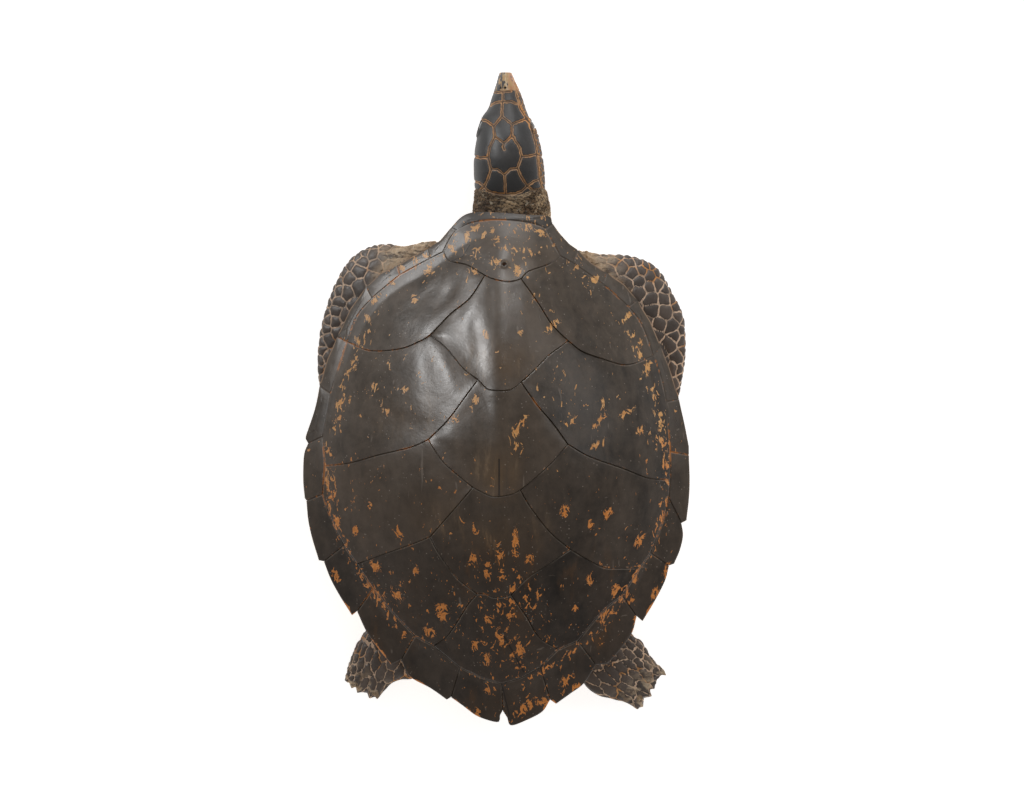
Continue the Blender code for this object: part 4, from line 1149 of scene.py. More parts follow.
def plates_on(points, size, rng, way=(0, 0, 0), squeeze=0.0, wobble=1.0):
    """Irregular plates grown from seeds strewn over a surface.

    Gives how far each point is from a seam, in millimetres, and a number from 0 to 1 for its plate. With a
    squeeze the plates are longer along the given way.
    """
    way = np.array(Vector(way).normalized())
    drift = [waves(points, DRIFT_LENGTH * float(np.mean(size)), seed) for seed in DRIFT_SEEDS]
    spots = points - squeeze * (points @ way)[:, None] * way + wobble * np.column_stack(drift)
    wanted = np.broadcast_to(size, len(points))
    seeds, count = np.empty((MOST_PLATES, 3)), 0
    for index in rng.sample(range(len(spots)), min(len(spots), MOST_TRIES)):
        apart = seeds[:count] - spots[index]
        if count < len(seeds) and (not count or (apart * apart).sum(1).min() > wanted[index] ** 2):
            seeds[count] = spots[index]
            count += 1
    tree = kdtree.KDTree(count)
    for index in range(count):
        tree.insert(seeds[index], index)
    tree.balance()
    tones = np.array([rng.random() for _ in range(count)])
    gaps, nearest = np.empty(len(spots)), np.empty(len(spots), int)
    for index, spot in enumerate(spots):
        (first, nearest[index], near), (second, _, far) = tree.find_n(spot, 2)
        gaps[index] = (far * far - near * near) / (2 * (first - second).length)
    return gaps, tones[nearest]


# ---------------------------------------------------------------- carapace


class Scute:
    """One horn scute: its outline, the line it rises towards, and how each outline point behaves."""

    def __init__(self, name, ring, rim_keys, seed):
        self.name, self.seed = name, seed
        self.large = not name.startswith(("marginal", "nuchal"))
        self.ring = np.array([tuple(p) for p in ring])
        along = np.roll(self.ring, -1, 0) - np.roll(self.ring, 1, 0)
        out = np.column_stack((along[:, 1], -along[:, 0]))
        self.out = softened(out / np.linalg.norm(out, axis=1)[:, None], 1)
        middle = self.ring.mean(0)
        centred = self.ring - middle
        spread, axes = np.linalg.eigh(centred.T @ centred / len(centred))
        spine = max(0.0, 1.2 * (math.sqrt(spread[1]) - math.sqrt(spread[0])))
        long_way = axes[:, 1]
        self.target = middle + np.clip(centred @ long_way, -spine, spine)[:, None] * long_way
        self.reach = np.linalg.norm(self.target - self.ring, axis=1)
        self.toward = (self.target - self.ring) / self.reach[:, None]
        self.facing = np.clip(softened(-(self.toward * self.out).sum(1)), LEAST_FACING, 1)
        self.rear = softened(np.clip(0.5 - 0.8 * self.out[:, 1], 0, 1))
        self.rear_inside = softened(self.rear, min(10, len(ring) // 6))
        self.rim = softened(np.array([float(key_of(p) in rim_keys) for p in ring]), 1)

    def row(self, step, inner):
        """Plan points of one ring inside the outline, their distances from it and shares of the way in."""
        if step < len(EDGE_RINGS):
            travel = np.minimum(EDGE_RINGS[step] / self.facing, self.reach * EDGE_SHARE * (step + 1))
        else:
            last = np.minimum(EDGE_RINGS[-1] / self.facing, self.reach * EDGE_SHARE * len(EDGE_RINGS))
            share = min(1.0, (step + 1 - len(EDGE_RINGS)) / inner)
            travel = last + (LAST_RING * self.reach - last) * share
        spots = self.ring + self.toward * travel[:, None]
        if step >= len(EDGE_RINGS) + inner:
            middle = spots.mean(0)
            spots = middle + (spots - middle) * CLOSING_RINGS[step - len(EDGE_RINGS) - inner]
        return spots, travel * self.facing, travel / self.reach

    def lift(self, spots, gap, inward, wave):
        """Height over the dome: groove, overlapping rear edge, tucked front edge, crown, waves and swells."""
        rise = smoothstep(gap, 0.0, SEAM_WIDTH)
        near = 1 - smoothstep(inward, 0.0, 0.9)
        within = smoothstep(gap, 0.0, 9.0)
        rear = self.rear * (1 - within) + self.rear_inside * within
        loud = seam_strength(spots)
        notch = RIM_NOTCH * self.rim * np.exp(-gap / RIM_NOTCH_FADE)
        groove = -loud * (SEAM_DEPTH * (1 - rise) * (1 - self.rim) + notch)
        ledge = LEDGE * loud * rear * rise * np.exp(-gap / LEDGE_FADE) * near * (1 - 0.55 * self.rim)
        tuck = -TUCK * (1 - rear) * rise * np.exp(-gap / TUCK_FADE) * (1 - self.rim)
        crown = SCUTE_CROWN * (1 - near * np.exp(-gap / CROWN_FADE))
        slow = on_plan(spots, WAVE_LENGTH, self.seed)
        for shorter, share, seed in SHORT_WAVES:
            slow = slow + share * on_plan(spots, WAVE_LENGTH / shorter, self.seed + seed)
        swell = swell_values(spots) * (0.55 + 0.45 * (1 - self.rim))
        slow = (wave * (slow - 0.6) + swell) * smoothstep(gap, 0.0, WAVE_START)
        return groove + ledge + tuck + crown + slow


def key_of(point):
    return round(point[0], 2), round(point[1], 2)


def oval(spots, x, y, half_width, half_length, turn=0.0):
    """Squared distance from an oval's middle, 1 on its edge; turn is from front-to-back, to the left."""
    angle = math.radians(turn)
    dx, dy = spots[:, 0] - x, spots[:, 1] - y
    along = dy * math.cos(angle) - dx * math.sin(angle)
    across = dx * math.cos(angle) + dy * math.sin(angle)
    return (along / half_length) ** 2 + (across / half_width) ** 2


def fleck_values(spots):
    """How strongly each plan point belongs to one of the listed flecks."""
    near = [oval(spots, x, y, width, length, turn) for x, y, length, width, turn in FLECKS]
    return np.exp(-FLECK_EDGE * np.min(near, 0))


def worn_values(spots):
    return np.exp(-np.min([oval(spots, x, y, reach, reach) for x, y, reach in WORN_SEAMS], 0))


def patch_values(spots):
    shades = [share * np.exp(-oval(spots, *place)) for *place, share in BROWN_PATCHES]
    return np.max(shades, 0)


def swell_values(spots):
    return sum(height * np.exp(-oval(spots, *place)) for *place, height in SWELLS)


def band_values(spots, name):
    """How thickly amber is strewn: a belt just inside the marginal scutes, the back's rear, the front."""
    x, y = spots.T
    share, _, _ = polar(x, y)
    belt = np.exp(-(((share - BELT_SHARE) / BELT_WIDTH) ** 2)) * np.clip((210 - y) / 60, 0.35, 1)
    belt = belt * np.clip((y + 290) / 90, 0.3, 1)
    rear = np.clip((-60 - y) / 90, 0, 1) * np.exp(-((x / 60) ** 2)) * 0.55
    rear = rear * np.clip((y + 300) / 60, 0.3, 1)
    front = np.clip((y - 215) / 40, 0, 1) * 0.5
    middle = 0.22 if name.startswith("costal") else 0.1
    return np.clip(np.maximum(belt, np.maximum(rear, front)) + middle, 0, 1)


def quiet_values(spots):
    """How much a seam fades out: around the marginal scutes, most of all in front."""
    share, _, _ = polar(spots[:, 0], spots[:, 1])
    return smoothstep(share, 0.83, 0.88) * np.clip(0.55 + (spots[:, 1] + 20) / 200, 0.35, 1.0)


def seam_strength(spots):
    return 1 - QUIET_LOSS * quiet_values(spots)


class ShellBuilder:
    """Builds the carapace: a plate for each scute over shared seam vertices, then the edge and the seat."""

    LAYERS = ("edge", "rear", "rim", "tone", "fleck", "worn", "band", "brown", "quiet", "under")

    def __init__(self, look):
        self.wave = look.wave / MM
        self.inner = look.inner_rings
        self.bm = bmesh.new()
        self.layers = {name: self.bm.verts.layers.float.new(name) for name in self.LAYERS}
        self.shared = {}
        rng = random.Random(11)
        rim_keys = {key_of(p) for p in rim_points()}
        rings = scute_rings()
        self.scutes = [Scute(name, ring, rim_keys, rng.uniform(0, 90)) for name, ring in rings.items()]
        self.tones = {name: SCUTE_TONES.get(name, rng.uniform(-0.25, 0.25)) for name in rings}

    def outline_vertex(self, point, rim):
        key = key_of(point)
        if key not in self.shared:
            spot = Vector(point)
            if rim > 0.5:
                inward = Vector(CENTRE) - spot
                place = Vector((point[0] / RIM_CHIP_LENGTH, point[1] / RIM_CHIP_LENGTH, 4.0))
                spot += inward.normalized() * (RIM_INSET + 0.5 * (1 + noise.noise(place)))
            else:
                place = spot / SEAM_WOBBLE_LENGTH
                shift = Vector([noise.noise(Vector((*place, seed))) for seed in (1.0, 8.0)])
                spot += shift * SEAM_WOBBLE
            depth = float(seam_strength(np.array(spot)[None])[0]) * (RIM_NOTCH if rim > 0.5 else SEAM_DEPTH)
            height = float(dome_height(spot[0], spot[1])) - depth
            self.shared[key] = self.bm.verts.new(Vector((*spot, height)) * MM)
        return self.shared[key]

    def start(self):
        """The outline face of every scute, sharing its seam vertices with its neighbours."""
        faces = []
        for scute in self.scutes:
            row = [self.outline_vertex(p, r) for p, r in zip(scute.ring, scute.rim)]
            face = self.bm.faces.new(row)
            self.fill_layers(scute, row, scute.ring, np.zeros(len(row)))
            faces.append(face)
        return faces

    def fill_layers(self, scute, row, spots, gap):
        edge_share = np.exp(-gap / 30.0)
        values = {
            "edge": gap, "rear": scute.rear * edge_share + 0.5 * (1 - edge_share),
            "rim": scute.rim * np.exp(-gap / 14.0), "tone": np.full(len(row), self.tones[scute.name]),
            "fleck": fleck_values(spots), "worn": worn_values(spots), "band": band_values(spots, scute.name),
            "brown": patch_values(spots), "quiet": quiet_values(spots), "under": np.zeros(len(row)),
        }
        for name, numbers in values.items():
            layer = self.layers[name]
            for vertex, number in zip(row, numbers):
                vertex[layer] = float(number)

    def raise_plates(self):
        faces = self.start()
        pairs = list(zip(self.scutes, faces))
        small_inner = max(3, self.inner // 3)
        for step in range(len(EDGE_RINGS) + self.inner + len(CLOSING_RINGS)):
            pairs = self.next_rings(pairs, step, small_inner)
        self.cap(pairs)

    def next_rings(self, pairs, step, small_inner):
        """Extrudes every plate that still grows by one ring; the others are left as they are."""
        edge = len(EDGE_RINGS) + len(CLOSING_RINGS)
        limits = [edge + (self.inner if scute.large else small_inner) for scute, _ in pairs]
        growing = [pair for pair, limit in zip(pairs, limits) if step < limit]
        resting = [pair for pair, limit in zip(pairs, limits) if step >= limit]
        made = bmesh.ops.extrude_discrete_faces(self.bm, faces=[face for _, face in growing])["faces"]
        grown = []
        for (scute, _), face in zip(growing, made):
            inner = self.inner if scute.large else small_inner
            spots, gap, inward = scute.row(step, inner)
            heights = dome_height(spots[:, 0], spots[:, 1]) + scute.lift(spots, gap, inward, self.wave)
            row = list(face.verts)
            for vertex, spot, height in zip(row, spots, heights):
                vertex.co = (spot[0] * MM, spot[1] * MM, height * MM)
            self.fill_layers(scute, row, spots, gap)
            grown.append((scute, face))
        return grown + resting

    def cap(self, pairs):
        made = bmesh.ops.poke(self.bm, faces=[face for _, face in pairs])["verts"]
        for vertex in made:
            ring = [edge.other_vert(vertex) for edge in vertex.link_edges]
            for layer in self.layers.values():
                vertex[layer] = sum(other[layer] for other in ring) / len(ring)

    def drill(self):
        """A blind hole, its mouth stitched into the plate around it, its deeper walls darkened with painted
        shade.
        """
        near = [
            face
            for face in self.bm.faces
            if ((face.calc_center_median().xy / MM) - HOLE_PLACE).length < HOLE_CLEARING * HOLE_RADIUS
        ]
        bmesh.ops.delete(self.bm, geom=near, context="FACES")
        mouth = [edge for edge in self.bm.edges if edge.is_boundary]
        height = max(vertex.co.z for edge in mouth for vertex in edge.verts) - 0.0002
        horn = {layer: mouth[0].verts[0][layer] for layer in self.layers.values()}
        radius = HOLE_RADIUS * HOLE_COLLAR * MM
        circle = bmesh.ops.create_circle(self.bm, segments=HOLE_SIDES, radius=radius)["verts"]
        bmesh.ops.translate(self.bm, verts=circle, vec=(HOLE_PLACE[0] * MM, HOLE_PLACE[1] * MM, height))
        loop = list({edge for vertex in circle for edge in vertex.link_edges})
        bmesh.ops.bridge_loops(self.bm, edges=mouth + loop)
        self.paint(circle, horn)
        # Below 1 mm the hole's walls count as a seam's edge and take the dark seam colour: painted shade
        # inside the hole
        dark = horn | {self.layers["edge"]: 0.0, self.layers["fleck"]: 0.0, self.layers["brown"]: 0.0}
        for share, depth in HOLE_PROFILE:
            ring, loop = self.extruded(loop)
            for vertex in ring:
                away = (vertex.co.xy / MM - HOLE_PLACE).normalized() * HOLE_RADIUS * share
                vertex.co = Vector((*(HOLE_PLACE + away), height / MM - depth)) * MM
            self.paint(ring, dark if depth > 1 else horn)
        bmesh.ops.edgenet_fill(self.bm, edges=loop)

    def extruded(self, edges):
        """The vertices and the free edges of a strip of faces drawn out from edges."""
        made = bmesh.ops.extrude_edge_only(self.bm, edges=edges)["geom"]
        ring = [g for g in made if isinstance(g, bmesh.types.BMVert)]
        return ring, [g for g in made if isinstance(g, bmesh.types.BMEdge) and g.is_boundary]

    def paint(self, vertices, values):
        for vertex in vertices:
            for layer, value in values.items():
                vertex[layer] = value

    def flange(self):
        """Turns the edge over, and brings the underside in to its seat on the belly plate."""
        edges = [edge for edge in self.bm.edges if edge.is_boundary]
        done = 0.0
        for inward, overhang, down in FLANGE_RINGS:
            row, edges = self.extruded(edges)
            spots = np.array([vertex.co.xy for vertex in row]) / MM
            share, angle, radius = polar(spots[:, 0], spots[:, 1])
            share = share + (BRIDGE_SHARE - share) * (inward - done) / (1 - done)
            reach = share * radius - overhang
            x, y = CENTRE[0] + reach * np.cos(angle), CENTRE[1] + reach * np.sin(angle)
            if inward:
                heights = under_height(x, y, RIM_THICKNESS + RIM_CORNER)
            else:
                heights = rim_height(angle) - RIM_CORNER - down * (RIM_THICKNESS - RIM_CORNER)
            for vertex, px, py, height in zip(row, x, y, heights):
                vertex.co = Vector((px, py, height)) * MM
            under, edge = (1.0, 40.0) if inward else (0.35, 3.0)
            self.paint(row, {self.layers["under"]: under, self.layers["edge"]: edge})
            done = inward
        bmesh.ops.holes_fill(self.bm, edges=edges, sides=0)


def shell_top(look):
    builder = ShellBuilder(look)
    builder.raise_plates()
    builder.flange()
    builder.drill()
    bmesh.ops.recalc_face_normals(builder.bm, faces=builder.bm.faces)
    finished("shell_top", builder.bm, horn_finish(look), "carapace", SHARP_ANGLE)


# ---------------------------------------------------------------- belly plate


def belly_share(height):
    """The belly plate's share of the outline's radius, rounded out from its flat underside to the bridges."""
    grown = (BRIDGE_SHARE - BELLY_SHARE - BELLY_ROUND) * (height / BELLY_DEPTH) ** 0.8
    return BELLY_SHARE + BELLY_ROUND + grown


def belly_plate(look):
    """Belly plate and bridges with the grooves between their scutes, flat where it rests."""
    rows_under, rows_side, rows_top = BELLY_ROWS
    bm, across, along = sheet(BELLY_MESH, sum(BELLY_ROWS))
    row = along * sum(BELLY_ROWS)
    angle = 2 * math.pi * across - math.pi
    _, _, radius = polar(CENTRE[0] + np.cos(angle), CENTRE[1] + np.sin(angle))
    under = np.clip(row / rows_under, 0, 1)
    side = np.clip((row - rows_under) / rows_side, 0, 1)
    over = np.clip((row - rows_under - rows_side) / rows_top, 0, 1)
    height = side**1.15 * (BELLY_DEPTH - 0.5)
    share = np.where(side > 0, belly_share(height), BELLY_SHARE * under) * (1 - over)
    x, y = CENTRE[0] + share * radius * np.cos(angle), CENTRE[1] + share * radius * np.sin(angle)
    gap = line_distance(np.column_stack((np.abs(x), y)), BELLY_SEAMS)
    groove = 1.1 * np.exp(-((gap / 1.3) ** 2)) + 0.5 * np.exp(-gap / 14.0)
    inward = np.where(side > 0, 1.0, 0.0) * (1 - over)
    reach = share * radius - groove * inward
    x, y = CENTRE[0] + reach * np.cos(angle), CENTRE[1] + reach * np.sin(angle)
    height = height + np.where(side > 0, 0.0, groove * np.clip((1 - under) * 12, 0, 1))
    points = np.column_stack((x, y, height))
    tube_piece("belly_plate", bm, points, {"edge": gap}, belly_finish(look), "plastron")


# ---------------------------------------------------------------- head and jaw


def mouth_height(y):
    share = (y - JAW_HINGE_Y) / (HEAD[-1][0] - JAW_HINGE_Y)
    return MOUTH_BACK + (MOUTH_FRONT - MOUTH_BACK) * share


def table_at(table, y):
    """The columns after the first of a table by y, eased, at the wanted y."""
    rows = eased(table, np.linspace(0, 1, TABLE_STEPS * (len(table) - 1) + 1))
    return [np.interp(y, rows[:, 0], column) for column in rows[:, 1:].T]


def eye_centre(side):
    middle, half, _, _ = table_at(HEAD, np.array([EYE_Y]))
    sign = -1 if side == LEFT else 1
    return Vector((middle[0] + sign * (half[0] - EYE_INSET), EYE_Y, EYE_HEIGHT))


def bulge(y, s, place):
    at, length, share, spread, rise = place
    return rise * np.exp(-(((y - at) / length) ** 2) - ((s - share) / spread) ** 2)


def skull(look):
    """Upper head: crown scales, cheeks, brow, eye sockets, nostrils and hooked beak, flat along the mouth."""
    bm, across, along = sheet(*SKULL_MESH)
    first, last = HEAD[0][0] - HEAD_OVERLAP, HEAD[-1][0]
    y = first + (last - first) * along
    middle, half, low, high = table_at(HEAD, y)
    c, s = superellipse(across, SKULL_FULLNESS)
    closing = pinch(along, 0.035, 0.004)
    x = middle + half * c * closing
    z = (low + high) / 2 + (high - low) / 2 * s * closing
    seam_y = y - 4.0 * np.clip(1 - s, 0, 1) * smoothstep(-y, -350, -335)
    gap, tone = head_plates(x, seam_y, z, s)
    rise = head_rise(look, y, c, s, gap) * closing
    x, z = x + c * rise, z + s * rise
    x = x + eye_hollows(y, z, c)
    near = [((x - nx) ** 2 + (y - ny) ** 2) / NOSTRIL_RADIUS**2 for nx, ny in NOSTRILS]
    nostril = sum(np.exp(-away) for away in near) * (s > 0)
    beak = smoothstep(y, BEAK_Y - BEAK_BLEND, BEAK_Y + BEAK_BLEND)
    streaks = waves(np.column_stack((x * 4, y * 0.4, z)), 5.0, 7.0)
    z = z - NOSTRIL_DEPTH * nostril + beak * (streaks * 0.4 + 0.3) * np.clip(s, 0, 1)
    floor = mouth_height(y) - HOOK_DEPTH * smoothstep(y, JAW_TIP_Y, last)
    centre = (floor + high) / 2
    z = np.where(y > JAW_HINGE_Y, centre + (np.maximum(z, floor) - centre) * closing, z)
    x = x - 0.002 * (x - middle) * np.clip(-20 * s, 0, 1)
    points = np.column_stack((x, np.clip(y, first + 0.2, last - 0.4), z))
    collar = smoothstep(-y, *COLLAR_SPAN)
    layers = {"gap": gap, "tone": tone, "skin": collar, "horn": beak, "nostril": nostril}
    surface = scale_finish("head_scales", look, look.scale_dark, Tint.head_seam, 1.75, 0.9, horn=True)
    tube_piece("skull", bm, points, layers, surface, "head")


def head_rise(look, y, c, s, gap):
    """Height of the head's domed scales over their seams, with the brow and the bump on the left."""
    plate = look.plate_rise / MM * 0.7 * (smoothstep(gap, 0.3, 2.0) - 1)
    dome = 0.9 * (1 - np.exp(-gap / 4.0))
    return plate + (dome - 0.5 + bulge(y, s, BROW) + bulge(y, s, LEFT_BUMP) * (c < 0))


def head_plates(x, y, z, s):
    """Distance from a seam and tone: the listed scales on the crown, small ones on the cheeks."""
    right = np.interp(y, [row[0] for row in CROWN_RIGHT], [row[1] for row in CROWN_RIGHT])
    crown = smoothstep(s, 0.02, 0.10) * (x < right)
    border = [tuple(reversed(row)) for row in CROWN_RIGHT]
    wobble = on_plan(np.column_stack((x, y)), 5.0, 3.0) * 0.5
    plan = np.column_stack((x + wobble, y + wobble))
    crown_gap = line_distance(plan, [*CROWN_SEAMS, border], 0.35)
    cheek_gap, tone = plates_on(np.column_stack((x, y, z)), 6.0, random.Random(5))
    gap = np.where(crown > 0.5, crown_gap, np.minimum(cheek_gap * 1.6, crown_gap))
    return gap, np.where(crown > 0.5, 0.25 + 0.3 * on_plan(plan, 24.0, 8.0), tone)


def eye_hollows(y, z, c):
    """How far each point of the head moves sideways for the two eye sockets and the rims around them."""
    moved = np.zeros(len(y))
    for side, sign in zip(SIDES, (1, -1)):
        eye = eye_centre(side)
        away = np.hypot(y - eye[1], z - eye[2])
        lid = LID_RISE * np.exp(-(((away - LID_PLACE) / LID_WIDTH) ** 2))
        sink = SOCKET_DEPTH * smoothstep(-away, -9.0, -6.5) - lid
        moved += np.where(c * sign < 0, sink * sign, 0)
    return moved


def lower_beak(look):
    """Lower jaw, closed under the upper beak, with scales behind and horn in front."""
    bm, across, along = sheet(*JAW_MESH)
    first = JAW_HINGE_Y + 1.8
    y = first + (JAW_TIP_Y - 0.3 - first) * along
    middle, half, low, high = table_at(HEAD, y)
    closing = pinch(along, 0.06)
    c, s = superellipse(across, JAW_FULLNESS)
    roof = mouth_height(y) - 0.5
    low = np.minimum(low, roof - 3.0)
    lip = np.clip(((low + high) / 2 - roof) / ((high - low) / 2), 0, 0.95)
    x = middle + half * JAW_WIDTH * (1 - lip**JAW_FULLNESS) ** (1 / JAW_FULLNESS) * c
    z = roof - (roof - low) * np.clip(-s, 0, 1)
    gap, tone = plates_on(np.column_stack((x, y, z)), 8.0, random.Random(8))
    beak = smoothstep(y, 430.0, 437.0)
    rise = look.plate_rise / MM * 0.8 * (np.maximum(smoothstep(gap, 0.2, 2.0), beak) - 1)
    centre = (low + roof) / 2
    x, z = middle + (x + c * rise - middle) * closing, centre + (z + s * rise - centre) * closing
    points = np.column_stack((x, y, np.minimum(z, roof)))
    blank = np.zeros(len(x))
    layers = {"gap": gap, "tone": tone, "skin": blank, "horn": beak, "nostril": blank}
    surface = scale_finish("jaw_scales", look, look.flipper_dark, look.seam_tan, 0.7, 0.3, horn=True)
    tube_piece("lower_beak", bm, points, layers, surface, "lower_jaw")


def glass_eye(side, word, surface):
    """A polished ball; its pupil looks out to the side and a little forward."""
    bm = bmesh.new()
    bmesh.ops.create_uvsphere(bm, u_segments=48, v_segments=28, radius=EYE_RADIUS * MM)
    look_way = Vector((-1 if side == LEFT else 1, 0.22, 0.05)).normalized()
    turns = [vertex.co.normalized().angle(look_way) for vertex in bm.verts]
    bmesh.ops.translate(bm, verts=bm.verts, vec=eye_centre(side) * MM)
    write_layers(bm, {"pupil": turns})
    finished(f"glass_eye_{word}", bm, surface, f"eye_{word}")


# ---------------------------------------------------------------- neck, tail and flippers


def under_shell(points):
    """Keeps soft parts clear of the carapace's underside."""
    share, _, _ = polar(points[:, 0], points[:, 1])
    roof = under_height(points[:, 0], points[:, 1]) - CLEARANCE
    points[:, 2] = np.where(share < TUCK_SHARE, np.minimum(points[:, 2], roof), points[:, 2])
    return points


def neck_skin(look):
    """Loose granular skin, drawn up over the back of the head at both sides."""
    bm, across, along = sheet(*NECK_MESH)
    y, middle, half, low, high = eased(NECK_LENGTHS, along).T
    c, s = superellipse(across, NECK_FULLNESS)
    closing = pinch(along, 0.05, 0.03)
    spots = np.column_stack((half * c, y, half * s))
    gap, tone = plates_on(spots, 2.9, random.Random(3), (1, 0, 0), 0.55, 1.6)
    folds = 0.55 * waves(np.column_stack((spots[:, 0] / 5, y, spots[:, 2] / 5)), 6.0, 1.0)
    grains = 0.9 * (1 - np.exp(-gap / 0.7)) + 0.7 * waves(spots, 2.2, 6.0)
    rise = folds + grains - 0.9
    x = middle + (half + rise) * c * closing
    z = (low + high) / 2 + ((high - low) / 2 + rise) * s * closing
    hollow = np.exp(-(((x - 7) / 27) ** 4)) * np.clip(s, 0, 1) * smoothstep(along, 0.66, 1.0)
    y = y + 0.9 * waves(spots, 4.0, 12.0) - 11.0 * hollow
    points = under_shell(np.column_stack((x, y, z)))
    tube_piece("neck_skin", bm, points, {"gap": gap, "tone": tone}, skin_finish(look), "neck")


def tail_stub(look):
    """A short ringed tail under the rear edge."""
    bm, across, along = sheet(*TAIL_MESH)
    y, middle, half, low, high = eased(TAIL, along).T
    c, s = superellipse(across, TAIL_FULLNESS)
    closing = pinch(along, 0.10)
    spots = np.column_stack((half * c, y, half * s))
    gap, tone = plates_on(spots, 4.0, random.Random(4))
    rise = 0.8 * np.sin(y * 2 * math.pi / TAIL_RING) + 0.5 * (1 - np.exp(-gap)) - 0.7
    x = middle + (half + rise) * c * closing
    z = (low + high) / 2 + ((high - low) / 2 + rise) * s * closing
    points = under_shell(np.column_stack((x, np.clip(y, TAIL_TIP_Y, 0), z)))
    tube_piece("tail_stub", bm, points, {"gap": gap, "tone": tone}, skin_finish(look), "tail")


def tufts(points, way, seed):
    """How far the points of a frayed end are drawn out or held back along the way that its tufts run."""
    way = np.array(way) / np.linalg.norm(way)
    across = points @ np.array((way[1], -way[0], 0))
    reach = waves(np.column_stack((across, np.full((len(across), 2), 2.0))), TUFT_WIDTH, seed)
    return TUFT_REACH * reach[:, None] * way


def limb(name, stations, look, surface, sizes, skin_end, seed, digits=None):
    """A flipper: irregular plates, smaller along the leading edge, and wrinkled skin at its root.

    Digits are the way that a hind flipper's plates run and the share of its length where its end frays.
    """
    bm, across, along = sheet(*sizes)
    lead_x, lead_y, trail_x, trail_y, height, half = eased(stations, along).T
    c, s = superellipse(across, FLIPPER_FULLNESS)
    lead = 0.5 * (1 + c)
    closing = pinch(along, 0.05)
    x = (lead_x + trail_x) / 2 + (lead_x - trail_x) / 2 * c * closing
    y = (lead_y + trail_y) / 2 + (lead_y - trail_y) / 2 * c * closing
    thick = half * (0.75 + 0.25 * lead)
    spots = np.column_stack((x, y, height + thick * s * closing))
    size = look.plate_size / MM * (1.15 - 0.55 * lead**3) * (0.62 if digits else 1.0)
    way, squeeze = (digits[0], 0.62) if digits else ((0, 0, 0), 0.0)
    gap, tone = plates_on(spots, size, random.Random(name), way, squeeze, 1.4)
    skin = smoothstep(-along + 0.05 * waves(spots, 14.0, seed), -skin_end, -skin_end * 0.6)
    rise = limb_rise(look, spots, gap, skin, seed)
    if digits:
        frayed = smoothstep(along, digits[1] - 0.15, 1.0)
        rise = rise + frayed * 2.0 * waves(spots, 4.0, seed + 4)
        skin = np.maximum(skin, frayed * smoothstep(waves(spots, 8.0, seed + 6), 0.02, 0.14))
    points = np.column_stack((x, y, height + (thick + rise) * closing * s))
    outward = np.column_stack((x - trail_x, y - trail_y)) / FLIPPER_CHORD
    points[:, :2] += outward * (rise * closing)[:, None]
    if digits:
        points += frayed[:, None] * tufts(points, digits[0], seed + 8)
    layers = {"gap": gap, "tone": tone, "skin": skin}
    tube_piece(name.replace("flipper", "limb"), bm, under_shell(points), layers, surface, name)


def limb_rise(look, spots, gap, skin, seed):
    """Height of a flipper's domed plates over their seams, and of the wrinkles where it is skin."""
    wrinkles = 1.1 * np.abs(waves(spots, 9.0, seed)) + 0.9 * waves(spots, 3.0, seed + 2)
    plate = look.plate_rise / MM * (0.5 - np.exp(-gap / 1.6)) + 0.7 * np.clip(gap / 5, 0, 1)
    return plate * (1 - skin) + (wrinkles - 0.7) * skin


# ---------------------------------------------------------------- operators, panel and stage


class TURTLE_OT_shell_top(bpy.types.Operator):
    """Builds the domed upper shell with its overlapping horn scutes"""

    bl_idname = "turtle.shell_top"
    bl_label = "Upper Shell"

    def execute(self, context):
        shell_top(context.scene.turtle_shell)
        return {"FINISHED"}


class TURTLE_OT_belly_plate(bpy.types.Operator):
    """Builds the belly plate that the specimen rests on"""

    bl_idname = "turtle.belly_plate"
    bl_label = "Belly Plate"

    def execute(self, context):
        belly_plate(context.scene.turtle_shell)
        return {"FINISHED"}


class TURTLE_OT_head(bpy.types.Operator):
    """Builds the head, the lower beak and the two glass eyes"""

    bl_idname = "turtle.head"
    bl_label = "Head"

    def execute(self, context):
        look = context.scene.turtle_skin
        skull(look)
        lower_beak(look)
        glass = eye_finish()
        for side, word in zip(SIDES, ("left", "right")):
            glass_eye(side, word, glass)
        return {"FINISHED"}


class TURTLE_OT_neck_and_tail(bpy.types.Operator):
    """Builds the granular skin of the neck and the tail"""

    bl_idname = "turtle.neck_and_tail"
    bl_label = "Neck and Tail"

    def execute(self, context):
        look = context.scene.turtle_skin
        neck_skin(look)
        tail_stub(look)
        return {"FINISHED"}


class TURTLE_OT_flippers(bpy.types.Operator):
    """Builds the four scaled flippers"""

    bl_idname = "turtle.flippers"
    bl_label = "Flippers"

    def execute(self, context):
        look = context.scene.turtle_skin
        plates = scale_finish("front_scales", look, look.flipper_dark, look.seam_tan, 0.95, 0.0, 0.9)
        limb("front_flipper_left", FRONT_LEFT, look, plates, FRONT_MESH, 0.26, 14)
        limb("front_flipper_right", FRONT_RIGHT, look, plates, FRONT_MESH, 0.24, 15)
        plates = scale_finish("hind_scales", look, look.flipper_dark, look.seam_tan, 0.55, 0.0, 1.1)
        limb("hind_flipper_left", HIND_LEFT, look, plates, HIND_MESH, 0.30, 18, ((-0.35, -1, 0), 0.7))
        limb("hind_flipper_right", HIND_RIGHT, look, plates, HIND_MESH, 0.30, 19, ((1, -0.8, 0), 0.7))
        return {"FINISHED"}


class TURTLE_OT_stage(bpy.types.Operator):
    """Sets the floor, the studio light and the camera straight above"""

    bl_idname = "turtle.stage"
    bl_label = "Stage"

    def execute(self, context):
        look = context.scene.turtle_studio
        set_camera(context.scene, look)
        set_world(context.scene, look)
        set_lights(context.scene)
        set_floor(look)
        return {"FINISHED"}


CAMERA_PLACE, CAMERA_REACH, SENSOR_WIDTH = (13.2 * MM, 83.4 * MM), 50.0, 36.0
SKY_COLOUR = (1.0, 0.99, 0.97, 1.0)
FLOOR_HALF, FLOOR_DROP = 6.0, 0.0003
